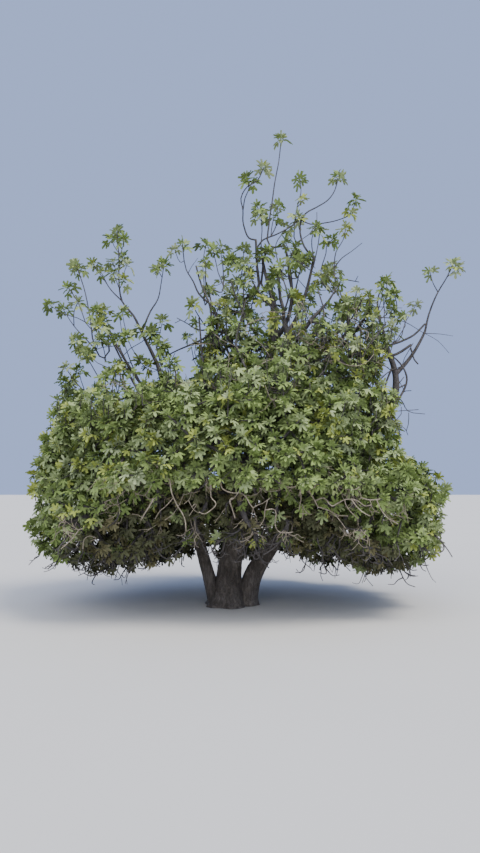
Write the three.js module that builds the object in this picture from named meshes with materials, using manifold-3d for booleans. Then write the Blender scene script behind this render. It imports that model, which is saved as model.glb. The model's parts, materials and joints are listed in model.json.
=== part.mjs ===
// A fig tree: three stems from one root, a wide skirt of foliage that lifts over the front, a dome above it, and
// long shoots with leaves at their tips. Millimetres, +Z up, +X right and -Y towards the viewer, with the origin on
// the ground, inside the foot of the middle stem.

import * as THREE from "three";
import { mergeVertices } from "three/addons/utils/BufferGeometryUtils.js";
import Module from "manifold-3d";

const wasm = await Module();
wasm.setup();

// Clearances
const SEAT_GAP = 0.3; // between a limb and what carries it
const CELL_GAP = 12; // from a mass's space to the plane that parts it from the next one
const CORE_GAP = 14; // from a core to a limb that runs past it
const TWIG_CLEAR = 30; // from a twig to any limb but its own
const LEAF_CLEAR = 55; // from a leaf to any limb
const WELD = 0.001;
const SLIVER = 0.15; // edges shorter than this are closed up
const FOLIAGE_SLIVER = 3; // the same among a dense mass's leaves, which keep further from everything else
const SHOOT_SLIVER = 1.5; // and among the smaller leaves of the shoots

// The crown as a whole
const HEART = new THREE.Vector3(250, 0, 1350); // foliage faces away from here
const GOLDEN_ANGLE = Math.PI * (3 - Math.sqrt(5));
const BOUGH_LEAVES_AT = 0.64; // a bough leaves its stem at this share of its mass's height, unless a group says more
const SEED = 7;
const SIDEWAYS = 0.6; // a mass whose direction from the middle goes this far sideways hangs on an outer stem

// The three stems, each from the ground to its tip, with its directions at the ground and at the tip
const STEMS = [
  {
    name: "trunk",
    foot: [-60, 0],
    tip: [560, 40, 3760],
    lean: [0, 0, 1],
    tipWay: [0.05, 0, 1],
    radii: [160, 52],
    flare: 130,
    sides: 12,
  },
  {
    name: "stem_right",
    foot: [160, 60],
    tip: [2080, 20, 3180],
    lean: [0, 0, 1],
    tipWay: [-0.4, 0, 1],
    radii: [124, 36],
    flare: 60,
    sides: 10,
  },
  {
    name: "stem_left",
    foot: [-180, -30],
    tip: [-980, 20, 3080],
    lean: [-0.36, 0, 1],
    tipWay: [-0.3, 0, 1],
    radii: [86, 28],
    flare: 45,
    sides: 10,
  },
];
const FLARE_HEIGHT = 170;
const BUTTRESSES = 5;
const BUTTRESS_DEPTH = 0.22;
const FOOT_BURIED = 120; // a stem starts this far below the cut, and is cut flat at the ground
const STEM_STEPS = 12;
const GROUND = [9000, 9000, 2000];

// The crown's dense shape: rounded boxes that its dense masses fill together
const ROUNDNESS = 3.2; // 2 is an ellipsoid, and more is squarer
const CROWN_SHAPES = [
  { centre: [30, 0, 1120], reach: [2690, 2380, 860] },
  { centre: [-60, 0, 1880], reach: [2230, 2120, 800] },
  { centre: [-930, 0, 2180], reach: [1310, 1450, 740] },
  { centre: [820, 0, 3150], reach: [1230, 1150, 1260] },
];
const FRONT_LIFT = 950; // how much higher the skirt's hem is at the front
const HEM_HEIGHT = 420;

// Dense tiers: rings of masses round an upright axis
const TIERS = [
  {
    tier: "skirt",
    sides: ["right", "back_right", "back", "back_left", "left", "front_left", "front", "front_right"],
    axis: [150, 0],
    ring: [1760, 1560],
    reach: [1150, 1080],
    top: 2620,
    bottom: 250,
    boughRadii: [62, 34],
    droop: -0.35,
    shoots: 6,
  },
  {
    tier: "shoulder",
    sides: ["right", "back_right", "back_left", "left", "front_left", "front_right"],
    axis: [0, 0],
    ring: [1270, 1080],
    reach: [1050, 1000],
    top: 3180,
    bottom: 1480,
    boughRadii: [54, 30],
    droop: 0.1,
    shoots: 5,
  },
  {
    tier: "dome",
    sides: ["right", "back", "left", "front"],
    axis: [800, 0],
    ring: [600, 580],
    reach: [860, 820],
    top: 4420,
    bottom: 2150,
    boughRadii: [50, 28],
    droop: 1.2,
    shoots: 5,
  },
];

// Open groups of long shoots, each with the places of its shoot tips, and leavesAt where its bough forks off higher
const SHOOT_GROUPS = [
  {
    name: "dome_top_shoots",
    on: "trunk",
    centre: [620, 0, 4260],
    reach: [900, 760, 560],
    tips: [[390, 0, 4590], [810, -230, 4480], [100, -190, 4350], [1240, -190, 4240], [-100, 260, 4560],
      [1040, 280, 4550], [580, -340, 4170]],
  },
  {
    name: "leader_shoots",
    on: "trunk",
    centre: [430, 0, 5300],
    reach: [560, 520, 1250],
    boughRadii: [30, 15],
    tips: [[660, 0, 6200], [410, -280, 5690], [180, 230, 5740], [320, -230, 5110], [630, 280, 5380]],
  },
  {
    name: "crest_right_shoots",
    on: "trunk",
    centre: [1300, 0, 5080],
    reach: [640, 520, 950],
    boughRadii: [30, 15],
    tips: [[1420, 0, 5660], [1600, -230, 5210], [920, 280, 5760], [1090, -280, 4820], [1560, 230, 5010]],
  },
  {
    name: "crest_left_shoots",
    on: "trunk",
    centre: [-400, 0, 4350],
    reach: [520, 480, 850],
    boughRadii: [32, 16],
    tips: [[-670, 0, 4720], [-360, 280, 4860], [-180, -250, 4540], [-510, -280, 3800]],
  },
  {
    name: "left_tall_shoots",
    on: "stem_left",
    centre: [-1300, 0, 4100],
    reach: [640, 520, 1180],
    tips: [[-1540, 0, 4900], [-870, -180, 4390], [-1440, -280, 4330], [-1700, 260, 4380]],
  },
  {
    name: "left_outer_shoots",
    on: "stem_left",
    centre: [-2080, 0, 3750],
    reach: [520, 480, 1080],
    boughRadii: [24, 13],
    tips: [[-2080, 0, 4430], [-2100, -280, 4050], [-2360, 230, 3950], [-1720, -180, 3780]],
  },
  {
    name: "left_low_shoots",
    on: "stem_left",
    centre: [-1450, -350, 3300],
    reach: [700, 420, 560],
    boughRadii: [24, 14],
    tips: [[-1660, -300, 3590], [-1010, -380, 3430], [-1900, -420, 3190]],
  },
  {
    name: "right_high_shoots",
    on: "stem_right",
    centre: [2150, 50, 3830],
    reach: [480, 480, 680],
    tips: [[2010, 0, 4200], [2030, -280, 3960], [2400, 240, 4030]],
  },
  {
    name: "right_arm_shoots",
    on: "stem_right",
    centre: [2740, 0, 3960],
    reach: [470, 420, 860],
    boughRadii: [28, 16],
    leavesAt: 0.8,
    tips: [[2940, 0, 4460], [2680, 160, 4260], [2770, -180, 4200]],
  },
  {
    name: "back_left_shoots",
    on: "trunk",
    centre: [-320, 1150, 3800],
    reach: [560, 520, 1050],
    boughRadii: [32, 16],
    tips: [[-400, 1300, 4500], [-100, 1080, 4260], [-560, 1050, 3920], [-220, 1420, 3700]],
  },
  {
    name: "back_right_shoots",
    on: "stem_right",
    centre: [1450, 1150, 4000],
    reach: [560, 520, 1000],
    boughRadii: [32, 16],
    tips: [[1500, 1250, 4780], [1180, 1080, 4450], [1800, 1120, 4180], [1380, 1420, 3900]],
  },
  {
    name: "left_dead_twigs",
    on: "trunk",
    centre: [-640, -60, 3190],
    reach: [430, 380, 640],
    boughRadii: [26, 15],
    bare: true,
    tips: [[-800, -60, 2900], [-720, -130, 3620], [-900, 60, 3240]],
  },
  {
    name: "right_dead_twigs",
    on: "stem_right",
    centre: [2560, 0, 3000],
    reach: [460, 420, 640],
    boughRadii: [28, 18],
    bare: true,
    tips: [[2860, 0, 3260], [2440, 60, 2500], [2700, -140, 2760], [2350, -100, 3350]],
  },
];
const SHOOT_RISE = 0.9; // how steeply a shoot group's limb climbs as it reaches its first tip,
const SHOOT_OUT = 0.5; // for this much outwards

// Limbs and twigs
const BOUGH_SIDES = 6;
const BOUGH_STEPS = 5;
const END_GROWTH = 0.9; // how much of a limb's clearance it also has beyond its ends
const BOX_ROOM = 1.5; // how many times a limb's first radius its box reaches beyond its curve
const HIGHEST_FORK = 0.94; // no bough leaves its stem beyond this share of it
const ROUTE_STEP = 0.01; // how finely a route is searched, as a share of it
const BOUGH_LEAST = 130; // a bough that would show less than this is part of its mass's stem
const ROOT_RISE = 0.85; // a bough sets off outwards, this much upwards for each unit
const TWIG_SIDES = 3;
const TWIG_STEPS = 2;
const CORE_STEM = [6, 2]; // sides and steps of the stem in a dense mass
const SHOOT_STEM = [5, 6]; // and in an open one
const SHOOT_STEPS = 2;
const TWIG_RADII = [13, 10];
const SHOOT_RADII = [10, 7];
const STEM_END = 0.55; // the thickness of a mass's stem at its end, as a share of its start
const CURVE_PULL = 0.34; // how far a limb keeps its first and last direction, as a share of its length
const STRAIGHT = 0.01; // a limb that bends less than this counts as straight
const UPRIGHT = 0.9; // and one that rises more than this share of its length as upright
const TURN_COST = 0.35; // how much longer a twig counts where it turns away from its parent's direction
const TWIG_FOLLOWS = 0.5; // how much of its parent's direction it starts with
const TWIG_RISE = 0.8; // and how much it turns up by its tip
const LIMB_KNOTS = 40; // places along a limb at which nearness to it is measured
const STEM_KNOTS = [12, 3]; // places along a mass's stem, and the first of them that carries twigs
const TWIG_KNOTS = 6; // places along a twig, which carries others at all but its first and last

// Foliage
const SPACE_STEP = 20; // how finely the edge of a mass's space is looked for
const CORE_OPEN = 0.57; // the core's size in a dense mass, as a share of the way to the open edge of its space
const CORE_BESIDE = 0.82; // and the same towards a neighbour
const OPEN_BEYOND = 120; // the edge is open where this much beyond it is still clear of the neighbours
const CORE_BUMPS = 0.1;
const SKIN_INSETS = [288, 414]; // how far inside its space a twig ends, so that its leaves reach the outside
const SKIN_TRIES = 90;
const INWARD_LIMIT = -0.3; // no twigs on the side that faces the heart of the crown
const LEAF_LENGTH = 500;
const SHOOT_LEAF_LENGTH = 230;
const LEAF_THICKNESS = 0.03; // as a share of the length
const LEAF_SIZES = [0.88, 1.12];
const LEAF_TRIES = [1, 0.75]; // a leaf that doesn't fit at the first of these sizes is tried at the second
const LEAVES_ON_TIP = 3;
const LEAVES_ON_SHOOT = 3;
const LEAF_SPREADS = [0.45, 1.05]; // the angle from the twig to its last leaf, and to its first
const LEAF_TURNS = 0.3; // and how much that angle varies
const LAST_LEAF = 0.99; // where a twig's last leaf grows, as a share of its length
const LEAF_STEP = 0.11; // and how much lower each one before it grows
const LEAF_SUNK = 0.012; // how far a leaf's root runs on through its twig's middle, as a share of its length
const LEAF_PROBES = [0, 1 / 3, 2 / 3]; // how far in from its rim a leaf is tested, as shares of its reach
// The blade's outline from its middle, as angle from its tip and reach as a share of its length
const LEAF_MIDDLE = 0.42;
const LEAF_OUTLINE = [
  [0, 0.58],
  [27, 0.3],
  [60, 0.48],
  [180, LEAF_MIDDLE + LEAF_SUNK],
  [300, 0.48],
  [333, 0.3],
];

const UP = new THREE.Vector3(0, 0, 1);
const bark = new THREE.MeshStandardMaterial({ color: 0x7d7263, roughness: 0.9, metalness: 0 });
const deadWood = new THREE.MeshStandardMaterial({ color: 0x9a9186, roughness: 0.95, metalness: 0 });
const foliage = new THREE.MeshStandardMaterial({ color: 0x6d8a45, roughness: 0.65, metalness: 0 });

const vector = (place) => new THREE.Vector3(...place);
const mix = THREE.MathUtils.lerp;

// Random numbers from 0 to 1 that come out the same on every run
function seeded(seed) {
  let state = seed >>> 0;
  return () => {
    state = (state + 0x6d2b79f5) >>> 0;
    let bits = Math.imul(state ^ (state >>> 15), state | 1);
    bits ^= bits + Math.imul(bits ^ (bits >>> 7), bits | 61);
    return ((bits ^ (bits >>> 14)) >>> 0) / 4294967296;
  };
}

// Solids and meshes
function solidOf(geometry) {
  const bare = geometry.clone();
  bare.deleteAttribute("normal");
  bare.deleteAttribute("uv");
  const welded = mergeVertices(bare, WELD);
  return new wasm.Manifold(
    new wasm.Mesh({
      numProp: 3,
      vertProperties: new Float32Array(welded.attributes.position.array),
      triVerts: new Uint32Array(welded.index.array),
    }),
  );
}

function namedMesh(name, solid, material) {
  const { numProp, vertProperties, triVerts } = solid.getMesh();
  const places = new Float32Array((vertProperties.length / numProp) * 3);
  for (let i = 0; i < places.length / 3; i += 1) {
    places.set(vertProperties.subarray(i * numProp, i * numProp + 3), i * 3);
  }
  const geometry = new THREE.BufferGeometry();
  geometry.setAttribute("position", new THREE.BufferAttribute(places, 3));
  geometry.setIndex(new THREE.BufferAttribute(new Uint32Array(triVerts), 1));
  geometry.computeVertexNormals();
  const mesh = new THREE.Mesh(geometry, material);
  mesh.name = name;
  return mesh;
}

// The one body that is kept when cutting leaves scraps or joining seals a hollow
function largestBody(solid) {
  const bodies = solid.decompose();
  return bodies.reduce((best, body) => (body.volume() > best.volume() ? body : best), bodies[0]);
}

// A curve that leaves a place in one direction and arrives at another in a second direction
function bentCurve(start, startWay, end, endWay) {
  const pull = start.distanceTo(end) * CURVE_PULL;
  return new THREE.CubicBezierCurve3(
    start.clone(),
    start.clone().addScaledVector(startWay, pull),
    end.clone().addScaledVector(endWay, -pull),
    end.clone(),
  );
}

// A direction square to the plane that a curve bends in, which keeps its sections from twisting
function bendAxis(curve) {
  const chord = curve.v3.clone().sub(curve.v0);
  const axis = curve.v1.clone().sub(curve.v0).cross(chord);
  if (axis.length() < STRAIGHT * chord.lengthSq() * CURVE_PULL) {
    axis.crossVectors(chord, Math.abs(chord.z) > UPRIGHT * chord.length() ? new THREE.Vector3(0, 1, 0) : UP);
  }
  return axis.normalize();
}

// A limb is a stretch of a curve, from one share of it to another, with a radius along it
function makeLimb(name, curve, [from, to], radiusAt, sides, steps) {
  return { name, curve, from, to, radiusAt, sides, steps, axis: bendAxis(curve) };
}

function limbPoint(limb, share) {
  return limb.curve.getPoint(mix(limb.from, limb.to, share));
}

function limbWay(limb, share) {
  return limb.curve.getTangent(mix(limb.from, limb.to, share));
}

// A cylinder bent along a limb, larger all round by grown, and nearly as much longer at both ends
function limbGeometry(limb, grown = 0) {
  const geometry = new THREE.CylinderGeometry(1, 1, 1, limb.sides, limb.steps);
  const position = geometry.attributes.position;
  const corner = new THREE.Vector3();
  for (let i = 0; i < position.count; i += 1) {
    corner.fromBufferAttribute(position, i);
    const share = corner.y + 0.5;
    const way = limbWay(limb, share);
    const across = new THREE.Vector3().crossVectors(limb.axis, way).normalize();
    const aside = new THREE.Vector3().crossVectors(across, way);
    const radius = limb.radiusAt(share, Math.atan2(corner.z, corner.x)) + grown;
    const place = limbPoint(limb, share)
      .addScaledVector(way, (Math.abs(corner.y) === 0.5 ? Math.sign(corner.y) : 0) * grown * END_GROWTH)
      .addScaledVector(across, corner.x * radius)
      .addScaledVector(aside, corner.z * radius);
    position.setXYZ(i, place.x, place.y, place.z);
  }
  return geometry;
}

const taper = ([thick, thin]) => (share) => mix(thick, thin, share);

// A box round a limb, which saves testing it against what is far from it
function limbBox(limb, grown = 0) {
  const box = new THREE.Box3();
  for (let i = 0; i <= limb.steps; i += 1) box.expandByPoint(limbPoint(limb, i / limb.steps));
  return box.expandByScalar(limb.radiusAt(0, 0) * BOX_ROOM + grown);
}

// Stems: each starts under the ground, leans as given, and is cut flat at the ground
function makeStem({ name, foot, tip, lean, tipWay, radii, flare, sides }) {
  const way = vector(lean).normalize();
  const start = new THREE.Vector3(foot[0], foot[1], 0).addScaledVector(way, -FOOT_BURIED / way.z);
  const curve = bentCurve(start, way, vector(tip), vector(tipWay).normalize());
  const length = curve.getLength();
  const radiusAt = (share, angle) => {
    const height = Math.max(0, share * length - FOOT_BURIED);
    const spread = flare * Math.exp(-height / FLARE_HEIGHT);
    return mix(radii[0], radii[1], share) + spread * (1 + BUTTRESS_DEPTH * Math.cos(BUTTRESSES * angle));
  };
  return makeLimb(name, curve, [0, 1], radiusAt, sides, STEM_STEPS);
}

// Masses: each has a middle, a reach along each axis, and planes that part it from the others
function tierMasses({ tier, sides, axis, ring, reach, top, bottom, boughRadii, droop, shoots }) {
  return sides.map((side, i) => {
    const angle = (2 * Math.PI * i) / sides.length;
    const out = new THREE.Vector3(Math.cos(angle), Math.sin(angle), 0);
    const place = new THREE.Vector3(axis[0] + ring[0] * out.x, axis[1] + ring[1] * out.y, 0);
    const low = Math.max(bottom, hemHeight(place));
    return {
      name: `${tier}_${side}`,
      on: stemBelow(out),
      centre: place.setZ((top + low) / 2),
      reach: new THREE.Vector3(reach[0], reach[1], (top - low) / 2),
      endWay: new THREE.Vector3(out.x, out.y, droop).normalize(),
      boughRadii,
      shoots,
      dense: true,
    };
  });
}

// The hem of the skirt lifts towards the front
function hemHeight(place) {
  const towardsFront = Math.max(0, -place.y / CROWN_SHAPES[0].reach[1]);
  return HEM_HEIGHT + FRONT_LIFT * Math.min(1, towardsFront) ** 2;
}

function inCrown(place) {
  if (place.z < hemHeight(place)) return false;
  return CROWN_SHAPES.some(({ centre, reach }) => {
    const offset = place.clone().sub(vector(centre)).divide(vector(reach));
    const across = Math.hypot(offset.x, offset.y);
    return across ** ROUNDNESS + Math.abs(offset.z) ** ROUNDNESS < 1;
  });
}

// The stem that carries a mass on this side of the tree
function stemBelow(out) {
  if (out.x > SIDEWAYS) return "stem_right";
  return out.x < -SIDEWAYS ? "stem_left" : "trunk";
}

function allMasses() {
  const groups = SHOOT_GROUPS.map((group) => ({
    ...group,
    centre: vector(group.centre),
    reach: vector(group.reach),
    tips: group.tips.map(vector),
    onTip: !group.boughRadii,
  }));
  return [...TIERS.flatMap(tierMasses), ...groups];
}

// The reach of a mass in one direction
function reachAlong({ reach }, way) {
  return 1 / way.clone().divide(reach).length();
}

// The planes that part one mass from each other mass, as directions and distances
function partingPlanes(mass, masses) {
  return masses
    .filter((other) => other !== mass)
    .map((other) => {
      const way = other.centre.clone().sub(mass.centre);
      const between = way.length();
      way.normalize();
      const mine = reachAlong(mass, way);
      const share = mine / (mine + reachAlong(other, way));
      return { way, limit: mass.centre.dot(way) + between * share - CELL_GAP };
    });
}

function withinPlanes(mass, place) {
  return mass.planes.every(({ way, limit }) => place.dot(way) < limit);
}

function inSpace(mass, place) {
  const offset = place.clone().sub(mass.centre).divide(mass.reach);
  return offset.lengthSq() < 1 && (!mass.dense || inCrown(place)) && withinPlanes(mass, place);
}

// The limb that carries a mass runs on into it as the mass's stem. The bough is the part outside its space.
function routeToMass(mass, carrier) {
  const end = mass.tips ? mass.tips[0] : mass.centre;
  if (mass.onTip) {
    const start = limbPoint(carrier, 1).addScaledVector(limbWay(carrier, 1), SEAT_GAP);
    const way = limbWay(carrier, 1);
    return bentCurve(start, way, end, mass.tips ? UP : way);
  }
  const height = mass.centre.z * (mass.leavesAt ?? BOUGH_LEAVES_AT);
  let share = 0;
  while (share < HIGHEST_FORK && limbPoint(carrier, share).z < height) share += ROUTE_STEP;
  const start = limbPoint(carrier, share);
  const out = end.clone().sub(start).setZ(0).normalize();
  const startWay = out.clone().addScaledVector(UP, ROOT_RISE).normalize();
  if (mass.bare) return bentCurve(start, startWay, end, end.clone().sub(start).normalize());
  const climbing = out.clone().multiplyScalar(SHOOT_OUT).addScaledVector(UP, SHOOT_RISE).normalize();
  return bentCurve(start, startWay, end, mass.endWay ?? climbing);
}

// The share of a route at which it comes into its mass's space for good, or 0 where its limb runs through that
// space and the stem starts on the limb itself
function entryShare(mass, route, carrier) {
  if (mass.onTip) return 0;
  let share = 1;
  while (share > ROUTE_STEP && inSpace(mass, route.getPoint(share - ROUTE_STEP))) share -= ROUTE_STEP;
  const shown = clearOfLimbs([route.getPoint(share)], knotsOf(carrier, LIMB_KNOTS, 0), BOUGH_LEAST);
  return shown ? share : 0;
}

function makeBough(mass, route, entry) {
  return makeLimb(`bough_${mass.name}`, route, [0, entry], taper(mass.boughRadii), BOUGH_SIDES, BOUGH_STEPS);
}

// Twigs start at the nearest place on what has grown, and turn up towards their tips
function growTwig(mass, tip, grown, radii, steps) {
  let best = null;
  for (const knot of grown) {
    const way = tip.clone().sub(knot.place);
    const length = way.length();
    const cost = length + TURN_COST * (length - way.dot(knot.way));
    if (!best || cost < best.cost) best = { knot, cost, way: way.normalize() };
  }
  const { knot, way } = best;
  const startWay = way.clone().addScaledVector(knot.way, TWIG_FOLLOWS).normalize();
  const endWay = way.clone().addScaledVector(UP, mass.bare ? 0 : TWIG_RISE).normalize();
  const curve = bentCurve(knot.place, startWay, tip, endWay);
  const thick = Math.min(radii[0], knot.radius);
  return makeLimb("twig", curve, [0, 1], taper([thick, Math.min(radii[1], thick)]), TWIG_SIDES, steps);
}

function knotsOf(limb, count, first = 1) {
  const knots = [];
  for (let i = first; i <= count; i += 1) {
    const share = i / count;
    knots.push({ place: limbPoint(limb, share), way: limbWay(limb, share), radius: limb.radiusAt(share, 0) });
  }
  return knots;
}

// How far a mass's space goes from its middle in one direction, and whether it ends in the open there
function edgeAlong(mass, way) {
  const at = (far) => mass.centre.clone().addScaledVector(way, far);
  let far = 0;
  while (inSpace(mass, at(far + SPACE_STEP))) far += SPACE_STEP;
  return { far, open: withinPlanes(mass, at(far + OPEN_BEYOND)) };
}

// Some of the places, each as far as possible from those picked before it
function spreadOut(places, count) {
  const picked = places.slice(0, 1);
  while (picked.length < Math.min(count, places.length)) {
    const apart = (place) => Math.min(...picked.map((other) => other.distanceTo(place)));
    picked.push(places.reduce((best, place) => (apart(place) > apart(best) ? place : best)));
  }
  return picked;
}

// Twig tips of a dense mass, picked from a golden-angle spiral of directions, under the open side of its skin
function skinPlaces(mass, random) {
  const places = [];
  const outwards = mass.centre.clone().sub(HEART).normalize();
  for (let i = 0; i < SKIN_TRIES; i += 1) {
    const up = 1 - (2 * (i + 0.5)) / SKIN_TRIES;
    const turn = i * GOLDEN_ANGLE;
    const level = Math.sqrt(1 - up * up);
    const way = new THREE.Vector3(level * Math.cos(turn), level * Math.sin(turn), up);
    const { far, open } = edgeAlong(mass, way);
    if (!open || way.dot(outwards) < INWARD_LIMIT) continue;
    const inset = mix(...SKIN_INSETS, random());
    places.push(mass.centre.clone().addScaledVector(way, Math.max(far - inset, far * CORE_OPEN)));
  }
  return spreadOut(places, mass.shoots);
}

// A lobed blade, thickest in its middle, lying in the XY plane with its tip along +Y and its root at the origin
function leafGeometry(length) {
  const half = (length * LEAF_THICKNESS) / 2;
  const profile = [new THREE.Vector2(0, -half), new THREE.Vector2(1, 0), new THREE.Vector2(0, half)];
  const geometry = new THREE.LatheGeometry(profile, LEAF_OUTLINE.length);
  const position = geometry.attributes.position;
  for (let i = 0; i < position.count; i += 1) {
    const [x, y, z] = [position.getX(i), position.getY(i), position.getZ(i)];
    if (Math.hypot(x, z) < 0.5) {
      position.setXYZ(i, 0, length * LEAF_MIDDLE, -y);
      continue;
    }
    const turn = Math.round((Math.atan2(x, z) / (2 * Math.PI)) * LEAF_OUTLINE.length);
    const [angle, reach] = LEAF_OUTLINE[(turn + LEAF_OUTLINE.length) % LEAF_OUTLINE.length];
    const radians = THREE.MathUtils.degToRad(angle);
    const [across, along] = [Math.sin(radians) * reach, Math.cos(radians) * reach + LEAF_MIDDLE];
    position.setXYZ(i, across * length, along * length, -y);
  }
  return geometry;
}

// The places of the leaves near a twig's tip, turning round it by the golden angle and leaning out from it
function leafPlacings(twig, count, random) {
  const first = random() * 2 * Math.PI;
  const placings = [];
  for (let i = 0; i < count; i += 1) {
    const share = LAST_LEAF - LEAF_STEP * i;
    const way = limbWay(twig, share);
    const across = new THREE.Vector3().crossVectors(twig.axis, way).normalize();
    const aside = across.applyAxisAngle(way, first + i * GOLDEN_ANGLE);
    const spread = mix(...LEAF_SPREADS, i / (count - 1)) + LEAF_TURNS * (random() - 0.5);
    const along = way.clone().multiplyScalar(Math.cos(spread)).addScaledVector(aside, Math.sin(spread));
    const face = way.clone().multiplyScalar(Math.sin(spread)).addScaledVector(aside, -Math.cos(spread));
    const right = new THREE.Vector3().crossVectors(along, face);
    const root = limbPoint(twig, share);
    const size = mix(...LEAF_SIZES, random());
    placings.push((tried) => {
      const scale = new THREE.Vector3().setScalar(size * tried);
      return new THREE.Matrix4().makeBasis(right, along, face).scale(scale).setPosition(root);
    });
  }
  return placings;
}

// The leaves of a twig that keep to their mass's space and clear of the limbs
function fittingLeaves(mass, twig, blade, limbKnots, random) {
  const leaves = [];
  for (const placingAt of leafPlacings(twig, mass.dense ? LEAVES_ON_TIP : LEAVES_ON_SHOOT, random)) {
    const placing = LEAF_TRIES.map(placingAt).find((tried) => {
      const probes = leafProbes(blade, tried);
      return probes.every((probe) => inSpace(mass, probe)) && clearOfLimbs(probes, limbKnots, LEAF_CLEAR);
    });
    if (placing) leaves.push(solidOf(blade.clone().applyMatrix4(placing)));
  }
  return leaves;
}

// A faceted lump that stays inside a mass's space
function coreGeometry(mass, random) {
  const ball = new THREE.IcosahedronGeometry(1, 1).deleteAttribute("normal").deleteAttribute("uv");
  const geometry = mergeVertices(ball);
  const position = geometry.attributes.position;
  for (let i = 0; i < position.count; i += 1) {
    const way = new THREE.Vector3().fromBufferAttribute(position, i).normalize();
    const { far, open } = edgeAlong(mass, way);
    const share = (open ? CORE_OPEN : CORE_BESIDE) * (1 + CORE_BUMPS * (random() * 2 - 1));
    const place = mass.centre.clone().addScaledVector(way, far * share);
    position.setXYZ(i, place.x, place.y, place.z);
  }
  return geometry;
}

function clearOfLimbs(places, limbKnots, clearance) {
  const clear = (place) => limbKnots.every((knot) => place.distanceTo(knot.place) > knot.radius + clearance);
  return places.every(clear);
}

// Places all over a blade, for testing what it meets. The blade's corners are every third of its points.
function leafProbes(blade, placing) {
  const position = blade.attributes.position;
  const middle = new THREE.Vector3(0, position.getY(0), 0).applyMatrix4(placing);
  const corners = [];
  for (let i = 1; i < position.count; i += 3) {
    corners.push(new THREE.Vector3().fromBufferAttribute(position, i).applyMatrix4(placing));
  }
  const next = (i) => corners[(i + 1) % corners.length];
  const rim = corners.flatMap((corner, i) => [corner, corner.clone().lerp(next(i), 0.5)]);
  return LEAF_PROBES.flatMap((share) => rim.map((place) => place.clone().lerp(middle, share)));
}

// One mass of foliage or bare twigs, as one solid
function makeMass(mass, stem, limbs, limbKnots, random) {
  const isFree = ({ place }) => clearOfLimbs([place], limbKnots, TWIG_CLEAR);
  const grown = knotsOf(stem, ...STEM_KNOTS).filter(isFree);
  const radii = mass.dense ? TWIG_RADII : SHOOT_RADII;
  const tips = mass.dense ? skinPlaces(mass, random) : mass.tips.slice(1);
  const blade = leafGeometry(mass.dense ? LEAF_LENGTH : SHOOT_LEAF_LENGTH);
  const solids = mass.dense || mass.bare ? [] : fittingLeaves(mass, stem, blade, limbKnots, random);
  for (const tip of tips) {
    const twig = growTwig(mass, tip, grown, radii, mass.dense ? TWIG_STEPS : SHOOT_STEPS);
    const knots = knotsOf(twig, TWIG_KNOTS);
    if (!knots.every((knot) => inSpace(mass, knot.place) && isFree(knot))) continue;
    const leaves = mass.bare ? [] : fittingLeaves(mass, twig, blade, limbKnots, random);
    if (leaves.length === 0 && !mass.bare) continue;
    grown.push(...knots.slice(1, -1));
    solids.push(solidOf(limbGeometry(twig)), ...leaves);
  }
  const box = new THREE.Box3().setFromCenterAndSize(mass.centre, mass.reach.clone().multiplyScalar(2));
  const near = limbs.filter((limb) => limbBox(limb, CORE_GAP).intersectsBox(box));
  const cutClear = (solid, gap) =>
    near.reduce((left, limb) => left.subtract(solidOf(limbGeometry(limb, gap))), solid);
  if (mass.dense) solids.push(cutClear(solidOf(coreGeometry(mass, random)), CORE_GAP));
  const stemSolid = largestBody(cutClear(solidOf(limbGeometry(stem)), SEAT_GAP));
  const leafy = wasm.Manifold.union(solids).simplify(mass.dense ? FOLIAGE_SLIVER : SHOOT_SLIVER);
  return largestBody(leafy.add(stemSolid).simplify(SLIVER));
}

// The whole tree
function makeTree() {
  const masses = allMasses();
  for (const mass of masses) mass.planes = partingPlanes(mass, masses);

  const limbs = STEMS.map(makeStem);
  const carriers = new Map(limbs.map((limb) => [limb.name, limb]));
  const stems = new Map();
  for (const mass of masses) {
    const carrier = carriers.get(mass.on);
    const route = routeToMass(mass, carrier);
    const entry = entryShare(mass, route, carrier);
    if (entry > 0) {
      const bough = makeBough(mass, route, entry);
      limbs.push(bough);
      carriers.set(mass.name, bough);
    }
    const gap = entry > 0 ? SEAT_GAP / route.getLength() : 0;
    const thick = mass.onTip ? carrier.radiusAt(1, 0) : mass.boughRadii[1];
    const ends = taper([thick, Math.min(thick, mass.dense ? thick * STEM_END : SHOOT_RADII[1])]);
    const [sides, steps] = mass.dense ? CORE_STEM : SHOOT_STEM;
    stems.set(mass, makeLimb("stem", route, [entry + gap, 1], ends, sides, steps));
  }

  const group = new THREE.Group();
  const ground = solidOf(new THREE.BoxGeometry(...GROUND).translate(0, 0, -GROUND[2] / 2));
  limbs.forEach((limb, i) => {
    const box = limbBox(limb);
    const earlier = limbs.slice(0, i).filter((other) => limbBox(other, SEAT_GAP).intersectsBox(box));
    const whole = i < STEMS.length ? solidOf(limbGeometry(limb)).subtract(ground) : solidOf(limbGeometry(limb));
    const cut = earlier.reduce((left, other) => left.subtract(solidOf(limbGeometry(other, SEAT_GAP))), whole);
    group.add(namedMesh(limb.name, largestBody(cut.simplify(SLIVER)), bark));
  });

  masses.forEach((mass, i) => {
    const others = masses.filter((other) => other !== mass).map((other) => stems.get(other));
    const around = [...limbs, ...others];
    const limbKnots = around.flatMap((limb) => knotsOf(limb, LIMB_KNOTS, 0));
    const solid = makeMass(mass, stems.get(mass), around, limbKnots, seeded(SEED + i));
    group.add(namedMesh(mass.name, solid, mass.bare ? deadWood : foliage));
  });
  return group;
}

const figTree = makeTree();
export default figTree;
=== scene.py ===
"""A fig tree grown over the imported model: bark, twigs and leaves, in metres.

The limbs and the spaces of the masses follow the model's own sizes. Each mass is carried on to finer twigs
that end in tufts of lobed leaves, and the long shoots follow the courses that the photograph shows.
"""

import functools
import json
import math
from collections import namedtuple
from types import SimpleNamespace

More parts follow.
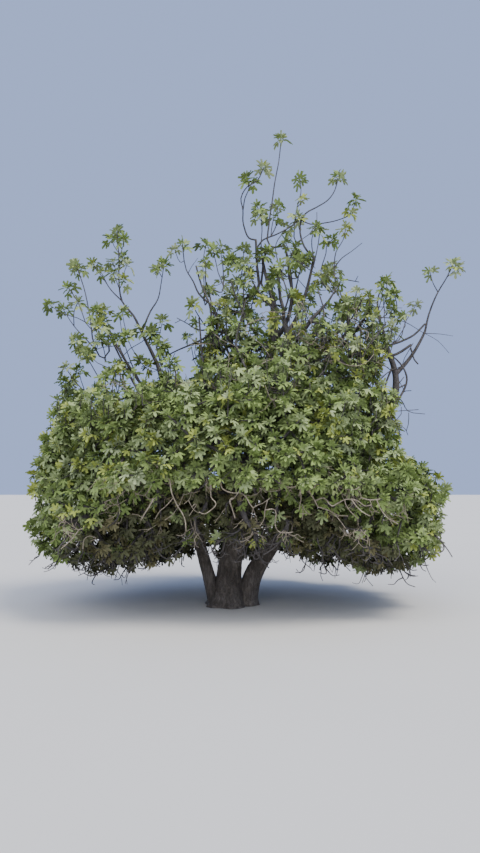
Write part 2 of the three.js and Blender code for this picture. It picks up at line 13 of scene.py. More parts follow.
import bpy
import numpy as np
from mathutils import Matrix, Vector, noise

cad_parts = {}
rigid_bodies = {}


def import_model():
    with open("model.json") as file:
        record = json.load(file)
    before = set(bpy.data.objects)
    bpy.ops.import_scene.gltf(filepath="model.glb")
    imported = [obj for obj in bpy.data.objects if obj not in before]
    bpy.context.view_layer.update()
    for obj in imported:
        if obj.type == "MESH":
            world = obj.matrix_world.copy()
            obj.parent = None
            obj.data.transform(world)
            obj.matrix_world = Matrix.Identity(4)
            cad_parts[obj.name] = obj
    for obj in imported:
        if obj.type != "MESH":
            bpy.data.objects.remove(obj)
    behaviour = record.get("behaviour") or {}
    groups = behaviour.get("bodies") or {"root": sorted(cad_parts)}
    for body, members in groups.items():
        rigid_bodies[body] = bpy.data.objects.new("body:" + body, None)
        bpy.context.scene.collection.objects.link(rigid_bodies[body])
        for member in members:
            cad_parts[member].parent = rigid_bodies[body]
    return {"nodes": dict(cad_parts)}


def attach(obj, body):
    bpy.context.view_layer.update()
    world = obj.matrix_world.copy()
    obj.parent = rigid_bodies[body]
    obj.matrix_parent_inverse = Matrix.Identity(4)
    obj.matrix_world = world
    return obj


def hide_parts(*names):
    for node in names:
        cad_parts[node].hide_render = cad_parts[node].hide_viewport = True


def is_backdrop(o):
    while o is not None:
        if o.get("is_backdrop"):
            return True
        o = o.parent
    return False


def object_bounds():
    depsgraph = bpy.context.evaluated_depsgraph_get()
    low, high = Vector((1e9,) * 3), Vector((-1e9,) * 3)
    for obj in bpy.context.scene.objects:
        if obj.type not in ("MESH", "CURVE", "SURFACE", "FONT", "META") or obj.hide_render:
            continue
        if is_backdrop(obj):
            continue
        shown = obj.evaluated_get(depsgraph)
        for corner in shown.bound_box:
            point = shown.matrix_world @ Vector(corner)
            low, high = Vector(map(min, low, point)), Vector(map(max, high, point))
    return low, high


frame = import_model()
CAD_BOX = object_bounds()
NODES = sorted(frame["nodes"])

bl_info = {
    "name": "Fig Tree",
    "version": (1, 0, 0),
    "blender": (4, 5, 0),
    "location": "3D View > Sidebar > Fig Tree",
    "description": "Grows bark, twigs and leaves over a fig tree's limbs and masses",
    "category": "Add Mesh",
}

# The photograph's view: its size, horizon and focal length in pixels, and its camera's sensor in millimetres,
# its place and how far it sees
PHOTO_SIZE = (480, 853)
PHOTO_MIDDLE = (PHOTO_SIZE[0] / 2, PHOTO_SIZE[1] / 2)
HORIZON = 490
FOCAL = 665
SENSOR = 36
CAMERA_AT = (0.10, -8.6, 1.45)
CAMERA_PITCH = math.atan((HORIZON - PHOTO_MIDDLE[1]) / FOCAL)
CAMERA_REACH = 200

# The three stems
STEMS = (
    dict(name="trunk", foot=(-0.06, 0), tip=(0.56, 0.04, 3.76), lean=(0, 0, 1), tip_way=(0.05, 0, 1),
         radii=(0.16, 0.052), flare=0.13),
    dict(name="stem_right", foot=(0.16, 0.06), tip=(2.08, 0.02, 3.18), lean=(0, 0, 1), tip_way=(-0.4, 0, 1),
         radii=(0.124, 0.036), flare=0.06),
    dict(name="stem_left", foot=(-0.18, -0.03), tip=(-0.98, 0.02, 3.08), lean=(-0.36, 0, 1),
         tip_way=(-0.3, 0, 1), radii=(0.086, 0.028), flare=0.045),
)
# Their root flare, its buttresses, and how deep their curves start below the ground
FLARE_HEIGHT = 0.17
BUTTRESSES = 5
BUTTRESS_DEPTH = 0.22
FOOT_BURIED = 0.12

# The crown's dense shape, as the middles and reaches of rounded drums, and its hem, which lifts to the front
CROWN_SHAPES = (
    ((0.03, 0, 1.12), (2.69, 2.38, 0.86)),
    ((-0.06, 0, 1.88), (2.23, 2.12, 0.8)),
    ((-0.93, 0, 2.18), (1.31, 1.45, 0.74)),
    ((0.82, 0, 3.15), (1.23, 1.15, 1.26)),
)
ROUNDNESS = 3.2
LEAST_MEASURE = 1e-6
CREASE_FILL = 0.16
HEM_HEIGHT = 0.42
FRONT_LIFT = 0.95
# The place inside the crown from which twigs and leaves turn away
HEART = np.array((0.25, 0, 1.35))
# How far each mass's space keeps back from the planes that part it from the others
CELL_GAP = 0.012

# Dense tiers: rings of masses round an upright axis
TIERS = (
    dict(tier="skirt", sides="right back_right back back_left left front_left front front_right",
         axis=(0.15, 0), ring=(1.76, 1.56), reach=(1.15, 1.08), top=2.62, bottom=0.25,
         bough_radii=(0.062, 0.034), droop=-0.35),
    dict(tier="shoulder", sides="right back_right back_left left front_left front_right", axis=(0, 0),
         ring=(1.27, 1.08), reach=(1.05, 1.0), top=3.18, bottom=1.48, bough_radii=(0.054, 0.03), droop=0.1),
    dict(tier="dome", sides="right back left front", axis=(0.8, 0), ring=(0.6, 0.58), reach=(0.86, 0.82),
         top=4.42, bottom=2.15, bough_radii=(0.05, 0.028), droop=1.2),
)

# Open groups of shoots: the pixels that each group's stem passes in the photograph, how many tufts are spread
# over its space, and its tips, the stem's own first
SHOOT_GROUPS = (
    dict(name="dome_top_shoots", on="trunk", centre=(0.62, 0, 4.26), reach=(0.9, 0.76, 0.56), tufts=22,
         tips=((0.39, 0, 4.59), (0.81, -0.23, 4.48), (0.1, -0.19, 4.35), (1.24, -0.19, 4.24),
               (-0.1, 0.26, 4.56), (1.04, 0.28, 4.55), (0.58, -0.34, 4.17))),
    dict(name="leader_shoots", on="trunk", centre=(0.43, 0, 5.3), reach=(0.56, 0.52, 1.25),
         bough_radii=(0.03, 0.015), tips=((0.66, 0, 6.2),),
         course=((270, 246), (269, 224), (272, 203), (275, 181), (279, 160))),
    dict(name="crest_right_shoots", on="trunk", centre=(1.3, 0, 5.08), reach=(0.64, 0.52, 0.95),
         bough_radii=(0.03, 0.015), tips=((1.42, 0, 5.66),),
         course=((304, 246), (300, 226), (305, 214), (317, 207), (328, 200), (335, 190))),
    dict(name="crest_left_shoots", on="trunk", centre=(-0.4, 0, 4.35), reach=(0.52, 0.48, 0.85),
         bough_radii=(0.032, 0.016), tips=((-0.67, 0, 4.72),), course=((199, 294), (193, 281), (186, 269))),
    dict(name="left_tall_shoots", on="stem_left", centre=(-1.3, 0, 4.1), reach=(0.64, 0.52, 1.18),
         tips=((-1.54, 0, 4.9),),
         course=((148, 345), (142, 333), (133, 315), (122, 301), (119, 283), (119, 262))),
    dict(name="left_outer_shoots", on="stem_left", centre=(-2.08, 0, 3.75), reach=(0.52, 0.48, 1.08),
         bough_radii=(0.024, 0.013), tufts=5, tips=((-2.08, 0, 4.43),),
         course=((104, 358), (94, 344), (91, 325), (88, 306), (84, 288))),
    dict(name="left_low_shoots", on="stem_left", centre=(-1.45, -0.35, 3.3), reach=(0.7, 0.42, 0.56),
         bough_radii=(0.024, 0.014), tufts=15,
         tips=((-1.66, -0.3, 3.59), (-1.01, -0.38, 3.43), (-1.9, -0.42, 3.19))),
    dict(name="right_high_shoots", on="stem_right", centre=(2.15, 0.05, 3.83), reach=(0.48, 0.48, 0.68),
         tips=((2.01, 0, 4.2),), course=((384, 335), (378, 312), (378, 298))),
    dict(name="right_arm_shoots", on="stem_right", centre=(2.74, 0, 3.96), reach=(0.47, 0.42, 0.86),
         bough_radii=(0.028, 0.016), leaves_at=0.8, tips=((2.94, 0, 4.46),),
         course=((429, 314), (438, 292), (447, 277))),
    dict(name="back_left_shoots", on="trunk", centre=(-0.32, 1.15, 3.8), reach=(0.56, 0.52, 1.05),
         bough_radii=(0.032, 0.016), tufts=5,
         tips=((-0.4, 1.3, 4.5), (-0.1, 1.08, 4.26), (-0.56, 1.05, 3.92), (-0.22, 1.42, 3.7))),
    dict(name="back_right_shoots", on="stem_right", centre=(1.45, 1.15, 4.0), reach=(0.56, 0.52, 1.0),
         bough_radii=(0.032, 0.016), tufts=5,
         tips=((1.5, 1.25, 4.78), (1.18, 1.08, 4.45), (1.8, 1.12, 4.18), (1.38, 1.42, 3.9))),
    dict(name="left_dead_twigs", on="trunk", centre=(-0.64, -0.06, 3.19), reach=(0.43, 0.38, 0.64),
         bough_radii=(0.026, 0.015), bare=True, tips=((-0.8, -0.06, 2.9), (-0.9, 0.06, 3.24))),
    dict(name="right_dead_twigs", on="stem_right", centre=(2.56, 0, 3.0), reach=(0.46, 0.42, 0.64),
         bough_radii=(0.028, 0.018), bare=True,
         course=((403, 392), (407, 380), (404, 369), (397, 360), (392, 356)),
         tips=((2.86, 0, 3.26), (2.44, 0.06, 2.5), (2.3, -0.14, 2.72), (2.35, -0.1, 3.35))),
)

# Shoots that the photograph shows one by one: the depth of the tip, leaves on it or -1 for a dry twig, radii
# in millimetres at the foot and the tip, and the pixels that it passes. Each sets off from what has grown
# nearest to its first pixel.
DRAWN_SHOOTS = (
    # The leader and its side shoots
    (0, 0, (20, 12), ((257, 292), (257, 266), (256, 240))),
    (0.05, 0, (16, 9), ((264, 290), (263, 266), (261, 247))),
    (-0.28, 9, (9, 5), ((256, 244), (249, 238), (245, 230), (243, 222), (243, 210), (241, 198), (247, 187),
                        (257, 181), (264, 167))),
    (-0.2, 8, (6, 4), ((243, 210), (245, 198), (249, 188), (247, 178))),
    (-0.2, 5, (4, 3), ((250, 184), (252, 183))),
    (0, 4, (9, 6), ((258, 250), (263, 240), (275, 235), (290, 227), (300, 219))),
    (-0.23, 9, (7, 4), ((301, 219), (310, 224), (324, 223), (338, 220), (349, 215), (354, 206), (356, 199))),
    (-0.2, 6, (4, 3), ((346, 217), (352, 214))),
    (0.28, 8, (7, 4), ((296, 242), (295, 222), (297, 208), (301, 192), (300, 179))),
    (0.2, 4, (4, 3), ((298, 206), (303, 200))),
    (-0.23, 9, (7, 4), ((262, 250), (262, 232), (261, 216), (257, 206))),
    (-0.2, 6, (4, 3), ((261, 222), (257, 216))),
    # The right crest
    (0.28, 7, (6, 4), ((271, 238), (276, 226), (278, 214), (277, 206))),
    (0.05, 6, (5, 4), ((269, 236), (272, 226), (274, 217))),
    (0.1, 8, (6, 4), ((286, 276), (277, 258), (276, 244), (283, 233), (289, 227))),
    (0.02, 6, (4, 3), ((292, 226), (297, 216))),
    (-0.28, 8, (7, 4), ((314, 264), (312, 248), (312, 238), (316, 227))),
    (-0.15, 6, (6, 4), ((314, 262), (318, 245), (320, 231))),
    (0.23, 9, (9, 4), ((332, 292), (334, 268), (336, 252), (343, 240), (346, 228))),
    (0.1, 9, (7, 4), ((321, 270), (326, 253), (327, 245), (333, 239))),
    (-0.1, 9, (8, 4), ((288, 292), (288, 268), (291, 256), (296, 247))),
    (0, 6, (6, 4), ((297, 278), (302, 264), (309, 257))),
    (0.1, 0, (7, 3), ((334, 268), (342, 258), (352, 251), (362, 243))),
    (0, 0, (8, 4), ((336, 281), (348, 280), (359, 282))),
    (0, 0, (4, 3), ((355, 281), (358, 276))),
    # The dome's edges
    (-0.3, 9, (7, 4), ((345, 334), (350, 316), (347, 300))),
    (-0.2, 9, (7, 4), ((352, 336), (357, 318), (357, 303))),
    (-0.1, 9, (7, 4), ((360, 336), (367, 320), (369, 303))),
    (-0.36, 9, (6, 4), ((356, 328), (362, 320), (374, 314))),
    (-0.3, 9, (6, 4), ((340, 330), (342, 320), (338, 308))),
    (-0.1, 7, (7, 4), ((243, 285), (243, 266), (244, 249))),
    (-0.2, 9, (6, 4), ((214, 330), (216, 316), (220, 304))),
    (-0.3, 9, (6, 4), ((224, 345), (226, 330), (226, 316))),
    (-0.1, 9, (6, 4), ((232, 340), (236, 322), (234, 308))),
    (0.1, 9, (6, 4), ((240, 335), (242, 318), (243, 303))),
    (-0.3, 9, (6, 4), ((236, 356), (240, 342), (238, 328))),
    (-0.1, 9, (6, 4), ((248, 345), (250, 326), (250, 312))),
    (0.2, 8, (6, 4), ((226, 320), (224, 306), (228, 294))),
    (0.1, 8, (6, 4), ((212, 318), (211, 303), (209, 291))),
    (-0.2, 9, (6, 4), ((246, 320), (252, 304), (255, 293))),
    (0, 9, (6, 4), ((236, 305), (238, 292), (236, 282))),
    (-0.35, 9, (6, 4), ((256, 352), (258, 340), (257, 330))),
    # The left crest, with its bare limbs
    (0.28, 8, (7, 4), ((205, 305), (204, 282), (203, 262), (206, 244))),
    (-0.25, 7, (7, 4), ((222, 292), (218, 272), (213, 250))),
    (-0.1, 7, (6, 4), ((226, 288), (223, 268), (220, 248))),
    (-0.05, 5, (6, 4), ((207, 290), (205, 278), (206, 268))),
    (-0.05, 0, (17, 8), ((226, 392), (222, 372), (218, 355), (214, 342), (211, 328), (211, 312), (207, 297),
                         (201, 284), (196, 266))),
    (0.05, 0, (15, 8), ((230, 382), (224, 364), (219, 346), (217, 330), (213, 312))),
    (0, 0, (8, 5), ((226, 350), (222, 336), (223, 328), (229, 321))),
    (-0.1, 0, (9, 5), ((214, 342), (221, 334), (222, 326), (217, 318))),
    (-0.05, 0, (4, 2), ((187, 273), (192, 266), (198, 258))),
    (-0.28, 9, (6, 4), ((202, 326), (198, 315), (192, 304))),
    (-0.1, 5, (4, 3), ((180, 262), (175, 250))),
    (-0.06, 0, (13, 6), ((212, 334), (203, 339), (190, 345), (178, 350), (168, 355))),
    (-0.13, 0, (10, 4), ((211, 326), (205, 330), (196, 329), (188, 324), (177, 318))),
    (-0.13, 0, (4, 3), ((186, 322), (190, 315))),
    (-0.13, 0, (4, 3), ((181, 320), (175, 323))),
    # The hollow between the dome and the shoulder
    (-0.5, 9, (6, 4), ((204, 392), (203, 378), (201, 366))),
    (-0.5, 9, (6, 4), ((214, 390), (212, 376), (212, 364))),
    (-0.5, 9, (6, 4), ((208, 398), (207, 388), (205, 380))),
    (-0.45, 9, (6, 4), ((196, 396), (197, 386), (199, 378))),
    (-0.5, 9, (6, 4), ((222, 388), (222, 374), (221, 362))),
    (-0.5, 8, (6, 4), ((216, 400), (216, 390), (216, 382))),
    # The tall and the outer shoots on the left
    (-0.18, 9, (10, 4), ((142, 333), (150, 312), (158, 299), (161, 284), (164, 264))),
    (-0.18, 5, (4, 3), ((162, 278), (158, 270))),
    (0.26, 7, (7, 4), ((123, 303), (111, 290), (103, 278), (93, 264))),
    (0.1, 6, (4, 3), ((108, 286), (101, 272))),
    (-0.28, 9, (4, 3), ((120, 290), (113, 272))),
    (0.05, 7, (4, 3), ((119, 270), (123, 258))),
    (0.1, 9, (4, 3), ((119, 258), (114, 246), (112, 238))),
    (-0.1, 8, (4, 3), ((119, 256), (123, 246), (124, 239))),
    (0.15, 8, (4, 3), ((119, 278), (115, 268), (112, 262))),
    (-0.15, 8, (4, 3), ((120, 280), (125, 270), (127, 264))),
    (-0.2, 7, (4, 3), ((120, 292), (124, 280))),
    (-0.1, 8, (8, 4), ((124, 366), (117, 350), (110, 330), (104, 310))),
    (-0.25, 8, (6, 4), ((128, 366), (121, 350), (117, 338))),
    (0.1, 0, (8, 3), ((140, 385), (130, 360), (123, 338), (119, 312))),
    (-0.18, 9, (7, 4), ((160, 362), (157, 350), (153, 331))),
    (0, 0, (6, 3), ((170, 380), (171, 362), (175, 353))),
    (-0.2, 6, (5, 3), ((168, 376), (166, 360), (165, 348))),
    (-0.28, 9, (5, 4), ((92, 330), (78, 302), (68, 287))),
    (0.23, 9, (7, 4), ((96, 348), (85, 338), (74, 326), (63, 309))),
    (0.1, 8, (5, 4), ((76, 326), (74, 312), (78, 302))),
    (-0.2, 8, (5, 4), ((106, 362), (104, 350), (101, 338))),
    (-0.3, 9, (6, 4), ((100, 380), (92, 366), (84, 352))),
    (-0.1, 8, (5, 4), ((86, 390), (74, 380), (65, 367))),
    # The shoots on the right, and the bare limbs among them
    (-0.28, 8, (7, 4), ((390, 338), (393, 320), (397, 306), (394, 294))),
    (0.24, 8, (6, 4), ((399, 340), (405, 323), (411, 313), (416, 305))),
    (0, 5, (4, 3), ((380, 290), (387, 280))),
    (0.16, 6, (6, 3), ((438, 292), (433, 283), (430, 272))),
    (-0.18, 6, (5, 3), ((447, 278), (458, 268))),
    (0, 0, (7, 2), ((374, 314), (390, 318), (405, 322), (422, 332), (438, 341), (449, 353))),
    (0, 0, (4, 2), ((424, 333), (440, 334), (453, 336))),
    (-0.05, 0, (10, 7), ((411, 345), (412, 352), (414, 359), (418, 364))),
    (-0.1, 0, (11, 7), ((394, 368), (387, 380), (384, 393), (385, 408))),
    (-0.05, 0, (9, 5), ((404, 384), (396, 390), (388, 402))),
    (-0.1, 0, (8, 3), ((401, 400), (408, 411), (425, 414))),
    (-0.1, 0, (8, 4), ((384, 404), (393, 391), (404, 377))),
    (0, 0, (7, 3), ((378, 384), (390, 371), (402, 366))),
    (0.1, 0, (7, 3), ((382, 360), (394, 373), (405, 392))),
    (0, 0, (6, 3), ((372, 304), (386, 307), (402, 308))),
    (0, 0, (22, 13), ((352, 368), (372, 360), (386, 357), (397, 354), (411, 345))),
    (0, 0, (16, 10), ((360, 356), (374, 352), (387, 346), (402, 341), (414, 335), (425, 324))),
    # Limbs that show between the dome's leaves
    (-0.1, 0, (30, 14), ((290, 352), (288, 340), (284, 322), (283, 308), (280, 296), (278, 272))),
    (0.05, 0, (13, 6), ((284, 318), (291, 302), (296, 288), (299, 274))),
    (-0.3, 0, (14, 7), ((262, 350), (256, 335), (246, 318), (237, 300), (231, 282))),
    (-0.2, 0, (18, 8), ((212, 408), (205, 385), (203, 362), (201, 344), (200, 330), (199, 318))),
    # Twigs before the dome's leaves
    (-1.04, -1, (6, 4), ((248, 324), (260, 319), (276, 317), (291, 314))),
    (-1.02, -1, (5, 3), ((262, 314), (276, 312), (294, 312), (304, 309))),
    (-1.04, -1, (6, 4), ((298, 302), (306, 312), (311, 322), (312, 334))),
    (-1.06, -1, (6, 4), ((291, 324), (299, 336), (308, 343), (317, 345), (326, 341), (333, 333))),
    (-1.04, -1, (6, 4), ((329, 331), (338, 335), (344, 341), (352, 347), (366, 348))),
    (-1.04, -1, (5, 3), ((334, 332), (341, 342), (348, 351))),
    (-1.06, -1, (6, 4), ((322, 352), (334, 358), (344, 364), (356, 366), (367, 362), (374, 354))),
    (-1.1, -1, (5, 4), ((211, 331), (222, 340), (235, 346), (246, 356), (256, 361), (266, 360))),
    (-1.06, -1, (5, 3), ((246, 328), (253, 338), (262, 345), (270, 357))),
    (-1.12, -1, (6, 4), ((258, 368), (267, 361), (278, 357))),
    (-1.2, -1, (5, 4), ((288, 378), (292, 391), (299, 401))),
    (-1.2, -1, (5, 3), ((298, 391), (308, 393), (318, 387))),
    (-0.8, 0, (6, 4), ((352, 316), (361, 323), (367, 331), (365, 343))),
    (-0.7, 0, (6, 4), ((375, 314), (372, 326), (362, 333))),
    (-0.8, 0, (12, 6), ((350, 392), (358, 372), (366, 350), (378, 334), (386, 322))),
    (-0.82, 0, (12, 6), ((318, 380), (326, 356), (340, 330), (352, 318), (362, 300))),
    (-0.74, 0, (12, 6), ((250, 385), (243, 362), (236, 345), (240, 322), (246, 300))),
    (-0.8, 0, (12, 6), ((330, 360), (322, 335), (324, 312), (318, 290))),
    # Dry twigs under the skirt's front
    (-1.9, -1, (8, 6), ((172, 494), (177, 505), (182, 513), (185, 520), (186, 531))),
    (-1.9, -1, (6, 4), ((170, 499), (165, 507), (160, 511), (155, 519))),
    (-1.9, -1, (5, 3), ((183, 498), (178, 507), (172, 515), (165, 520))),
    (-1.85, -1, (5, 3), ((190, 480), (191, 490), (190, 498), (184, 504))),
    (-1.95, -1, (7, 5), ((211, 484), (211, 497), (216, 504), (211, 510), (204, 514), (199, 512))),
    (-1.8, -1, (5, 3), ((191, 503), (194, 510), (199, 513))),
    (-1.8, -1, (5, 3), ((196, 504), (193, 510), (189, 516))),
    (-1.9, -1, (8, 6), ((222, 478), (222, 488), (226, 491), (234, 493), (241, 493), (246, 497), (250, 504),
                        (253, 508))),
    (-1.9, -1, (6, 4), ((253, 508), (258, 505), (263, 503), (270, 498))),
    (-1.85, -1, (6, 4), ((267, 501), (265, 510), (264, 519), (260, 526))),
    (-1.85, -1, (4, 3), ((253, 508), (252, 514), (251, 520))),
    (-1.85, -1, (4, 3), ((253, 508), (255, 514), (257, 520))),
    (-1.9, -1, (5, 4), ((240, 478), (241, 486), (238, 493), (234, 498))),
    (-1.8, -1, (12, 7), ((230, 500), (232, 508), (235, 518))),
    (-1.9, -1, (6, 4), ((278, 474), (281, 485), (278, 490), (268, 491), (259, 488))),
    (-1.85, -1, (7, 5), ((275, 510), (275, 524), (278, 531), (285, 533), (293, 532))),
    (-1.9, -1, (7, 5), ((283, 480), (288, 487), (294, 487), (300, 483), (306, 476))),
    (-1.85, -1, (7, 5), ((300, 490), (301, 499), (300, 504), (299, 510))),
    (-1.8, -1, (6, 4), ((305, 505), (303, 513), (302, 520))),
    (-1.85, -1, (10, 6), ((311, 494), (315, 501), (318, 507))),
    (-1.8, -1, (8, 5), ((322, 508), (330, 511), (337, 515), (348, 516))),
    (-1.9, -1, (8, 5), ((324, 498), (332, 506), (338, 503), (344, 500), (351, 499), (358, 501), (365, 506),
                        (371, 505))),
    (-1.9, -1, (7, 4), ((345, 500), (346, 505), (350, 511), (358, 519))),
    (-1.9, -1, (8, 5), ((350, 500), (357, 507), (364, 513), (370, 516))),
    (-1.85, -1, (7, 5), ((360, 498), (370, 500), (380, 499))),
    (-1.85, -1, (7, 5), ((376, 500), (380, 508), (384, 514), (389, 519), (398, 524))),
    (-1.8, -1, (4, 3), ((389, 519), (393, 525))),
    (-1.85, -1, (5, 4), ((351, 476), (348, 486), (350, 495))),
    (-1.85, -1, (4, 3), ((361, 482), (355, 487), (349, 492))),
    (-1.8, -1, (5, 3), ((371, 503), (373, 509), (379, 513))),
    (-1.75, -1, (6, 4), ((335, 514), (341, 522), (346, 529))),
    (-1.6, -1, (8, 5), ((96, 514), (89, 522), (84, 528), (79, 530), (74, 537), (68, 543), (61, 549))),
    (-1.6, -1, (5, 3), ((79, 530), (72, 526), (65, 521))),
    (-1.6, -1, (5, 3), ((75, 528), (72, 523), (71, 518))),
    (-1.65, -1, (6, 4), ((96, 538), (89, 536), (84, 540), (83, 549))),
    (-1.8, -1, (6, 4), ((154, 486), (148, 491), (145, 495), (140, 495), (134, 492))),
    (-1.8, -1, (5, 4), ((145, 495), (149, 499), (156, 498))),
    (-1.8, -1, (11, 7), ((153, 500), (149, 507), (145, 513), (141, 520))),
    (-1.75, -1, (5, 3), ((142, 517), (138, 515), (132, 514))),
    (-1.75, -1, (5, 3), ((104, 499), (112, 499), (117, 498), (119, 492))),
    (-1.7, -1, (5, 3), ((108, 501), (115, 505), (121, 503), (127, 499))),
    (-1.7, -1, (6, 4), ((98, 479), (92, 486), (87, 491))),
)
# How drawn shoots are placed: the pixels that a metre of depth counts for where their foot is sought, and
# those within which their first point is the foot. Tips near the middle plane move further from it, and
# living twigs are drawn thicker than they were read.
DRAWN_DEPTH = 30
DRAWN_NEAR = 4
DRAWN_NEAR_PLANE = 0.4
DRAWN_SPREAD = 1.5
DRAWN_THICKER = 1.4
MILLIMETRE = 0.001

# Directions, and the seeds of the random draws
UP = np.array((0.0, 0.0, 1.0))
LEVEL = (1, 1, 0)
GOLDEN_ANGLE = math.pi * (3 - math.sqrt(5))
SEED = 7
LEAF_SEED = 700

# Curves: how far their ends pull, when they count as straight or as upright, and how finely they are stepped
CURVE_PULL = 0.34
STRAIGHT = 0.01
UPRIGHT = 0.9
LEAST_LENGTH = 1e-9
LENGTH_PLACES = 33
ROUTE_STEP = 0.01
LIMB_KNOTS = 40

# Boughs: the share of its mass's height at which one leaves its stem, the highest share of the stem, how far
# aside the masses of the side stems stand, the least length that shows, and how roots and shoots rise
BOUGH_LEAVES_AT = 0.64
HIGHEST_FORK = 0.94
SIDEWAYS = 0.6
BOUGH_LEAST = 0.13
ROOT_RISE = 0.85
SHOOT_RISE = 0.9
SHOOT_OUT = 0.5

# Twigs: what a turn and a level course cost, how they follow their carrier and turn up and out, and radii
TURN_COST = 0.35
CLIMB = 0.6
TWIG_FOLLOWS = 0.5
TWIG_RISE = 0.8
TWIG_OUT = 0.35
TIP_RADIUS = 0.005
TUFT_RADII = (0.0065, 0.004)
STEM_END = 0.55
SHOOT_END = 0.007
PIPE_GROWTH = 0.36
NEAR_END = 0.3
COURSE_TAPER = 1.6
MAIN_TWIGS = 7
TWIG_SIDES = 5
TWIG_STEPS = 3
# Shares of a twig at which others may set off, and for a mass's stem the first, the last and their number
TWIG_KNOTS = (0.3, 0.55, 0.8)
COURSE_KNOTS = (0.33, 0.66, 1)
STEM_KNOTS = (0.25, 1, 10)

# Tufts: places tried for them, the waves of the skin as how often and how high, and how much rarer and
# smaller they are where the crown is open
SITE_TRIES = 12000
TUFT_TRIES = 40
SKIN_WAVES = ((2.1, 3.0), (0.75, 1.5))
OPEN_RARER = 0.5
OPEN_SMALLER = 0.35
# Leaves in a tuft, the fewest and the most, deep inside, on open shoots and on rising shoots, and those at a
# stem's tip
DEEP_LEAVES = (4, 7)
TIP_LEAVES = (6, 9)
RISER_LEAVES = (5, 8)
STEM_LEAVES = 9
# Where the crown opens on its left, and where its leaves stand back on its right, as axis, start and end
OPEN_LEFT = (-1.15, -0.75)
OPEN_LEFT_ABOVE = 2.45
OPEN_LEFT_OVER = 0.4
RIGHT_FROM = ((0, 1.3, 1.75), (2, 2.3, 2.8))
RIGHT_INSET = 0.18
# The skirt's front: where and how high its leaves start, and how dense they are in its curtain and inside
FRONT_HEM_FROM = (-0.95, -1.7)
FRONT_HEM = 1.5
CURTAIN_FROM = -0.45
CURTAIN = 0.85
INSIDE_LOW = 0.25

# Crooked bare twigs: how far they stray at a step, how their radii vary, and where and how they fork
CROOKED = 0.36
CROOKED_STEPS = 4
CROOKED_RADII = (0.7, 1.3)
FORK_AT = 2
FORK_STEPS = 3
FORK_TURN = 0.2
FORK_LENGTH = 0.55
FORK_RADII = 0.75
TWIG_LOWEST = 0.14
# Those that hang from the skirt's hem
HANGING_ABOVE = 0.35
HANGING_ASIDES = (-1.6, 1.6)
HANGING_FALLS = (0.2, 0.9)
HANGING_LENGTHS = (0.16, 0.42)
HANGING_RADII = (0.011, 0.005)
HANGING_SAGS = (0.2, 0.7)
# Pale ones under the skirt's front
PALE_FROM = -1.05
PALE_LOWEST = 1.0
PALE_ABOVE = 0.24
PALE_WAYS = ((-1, 1), (-0.9, 0.1), (-0.8, 0.1))
PALE_LENGTHS = (0.12, 0.3)
PALE_RADII = (0.0055, 0.003)
PALE_SAGS = (0.05, 0.45)
# Those between the leaves of the upper crown, of which the dome has more
TANGLE_DEPTH = 0.2
TANGLE_OUTS = (0.2, 1.2)
TANGLE_ASIDES = (-1, 1)
TANGLE_RISES = (-0.3, 0.8)
TANGLE_LENGTHS = (0.16, 0.45)
TANGLE_RADII = (0.0062, 0.0035)
TANGLE_DRY = 0.7
DOME_TANGLE = 3
# Shoots that rise from the skin, more and longer ones where the crown is airy
RISER_DEPTH = 0.22
RISER_ABOVE = 2.1
RISER_LENGTHS = (0.14, 0.36)
RISER_LEANS = (-0.2, 0.5)
LEFT_RISER_LEANS = (-0.5, 0.1)
RISER_ASIDES = (-0.6, 0.6)
RISER_FOOT_RISE = 0.3
RISER_CURLS = (-2, 1)
RISER_LEAFY = 0.8
AIRY_RISERS = 2
AIRY_LONGER = 1.35

# The leaf's blade, seen from the end of its stalk: angle from its tip, reach, and height above its plane
HALF_BLADE = (
    (142, 0.33, -0.02), (114, 0.52, -0.07), (89, 0.34, 0.04), (65, 0.82, 0), (54, 0.91, -0.06),
    (43, 0.84, -0.01), (28, 0.38, 0.06), (12, 0.93, 0.01),
)
BLADE_TIP = (0, 1.03, -0.08)
BLADE = (*((-angle, reach, height) for angle, reach, height in HALF_BLADE), BLADE_TIP, *HALF_BLADE[::-1])
# Which of its points are notches, and which are the lobes' tips, where the veins end
NOTCHES = (2, 6, 10, 14)
LOBE_TIPS = (1, 4, 8, 12, 15)
# How leaves vary: in size, reach, the depth of their notches, width, and how far they fold and curl
LEAF_SIZES = (0.72, 1.12)
YOUNG_SIZE = 0.8
SHOOT_LEAVES = 1.22
REACH_VARIES = 0.05
NOTCH_DEPTHS = (0.72, 1.3)
BLADE_WIDTHS = (0.9, 1.06)
LEAF_BENDS = (0.02, 0.3)
# Stalks, and how leaves stand on their twig, from the youngest to the oldest
STALK_SIDES = 3
STALK_RADII = (0.0017, 0.0012)
STALK_SHARE = (0.3, 0.62)
STALK_VARIES = (0.8, 1.25)
STALK_RISE = 0.15
LEAF_APART = 0.009
LOWEST_LEAF = 0.3
LEAF_SPREADS = (0.45, 1.65)
SPREAD_VARIES = 0.12
LEAF_DROOPS = (0.1, 0.85)
DROOP_VARIES = 0.16
# Which way they face: up, outwards and astray
FACE_UP = 0.8
FACE_OUT = 0.45
FACE_VARIES = 0.46

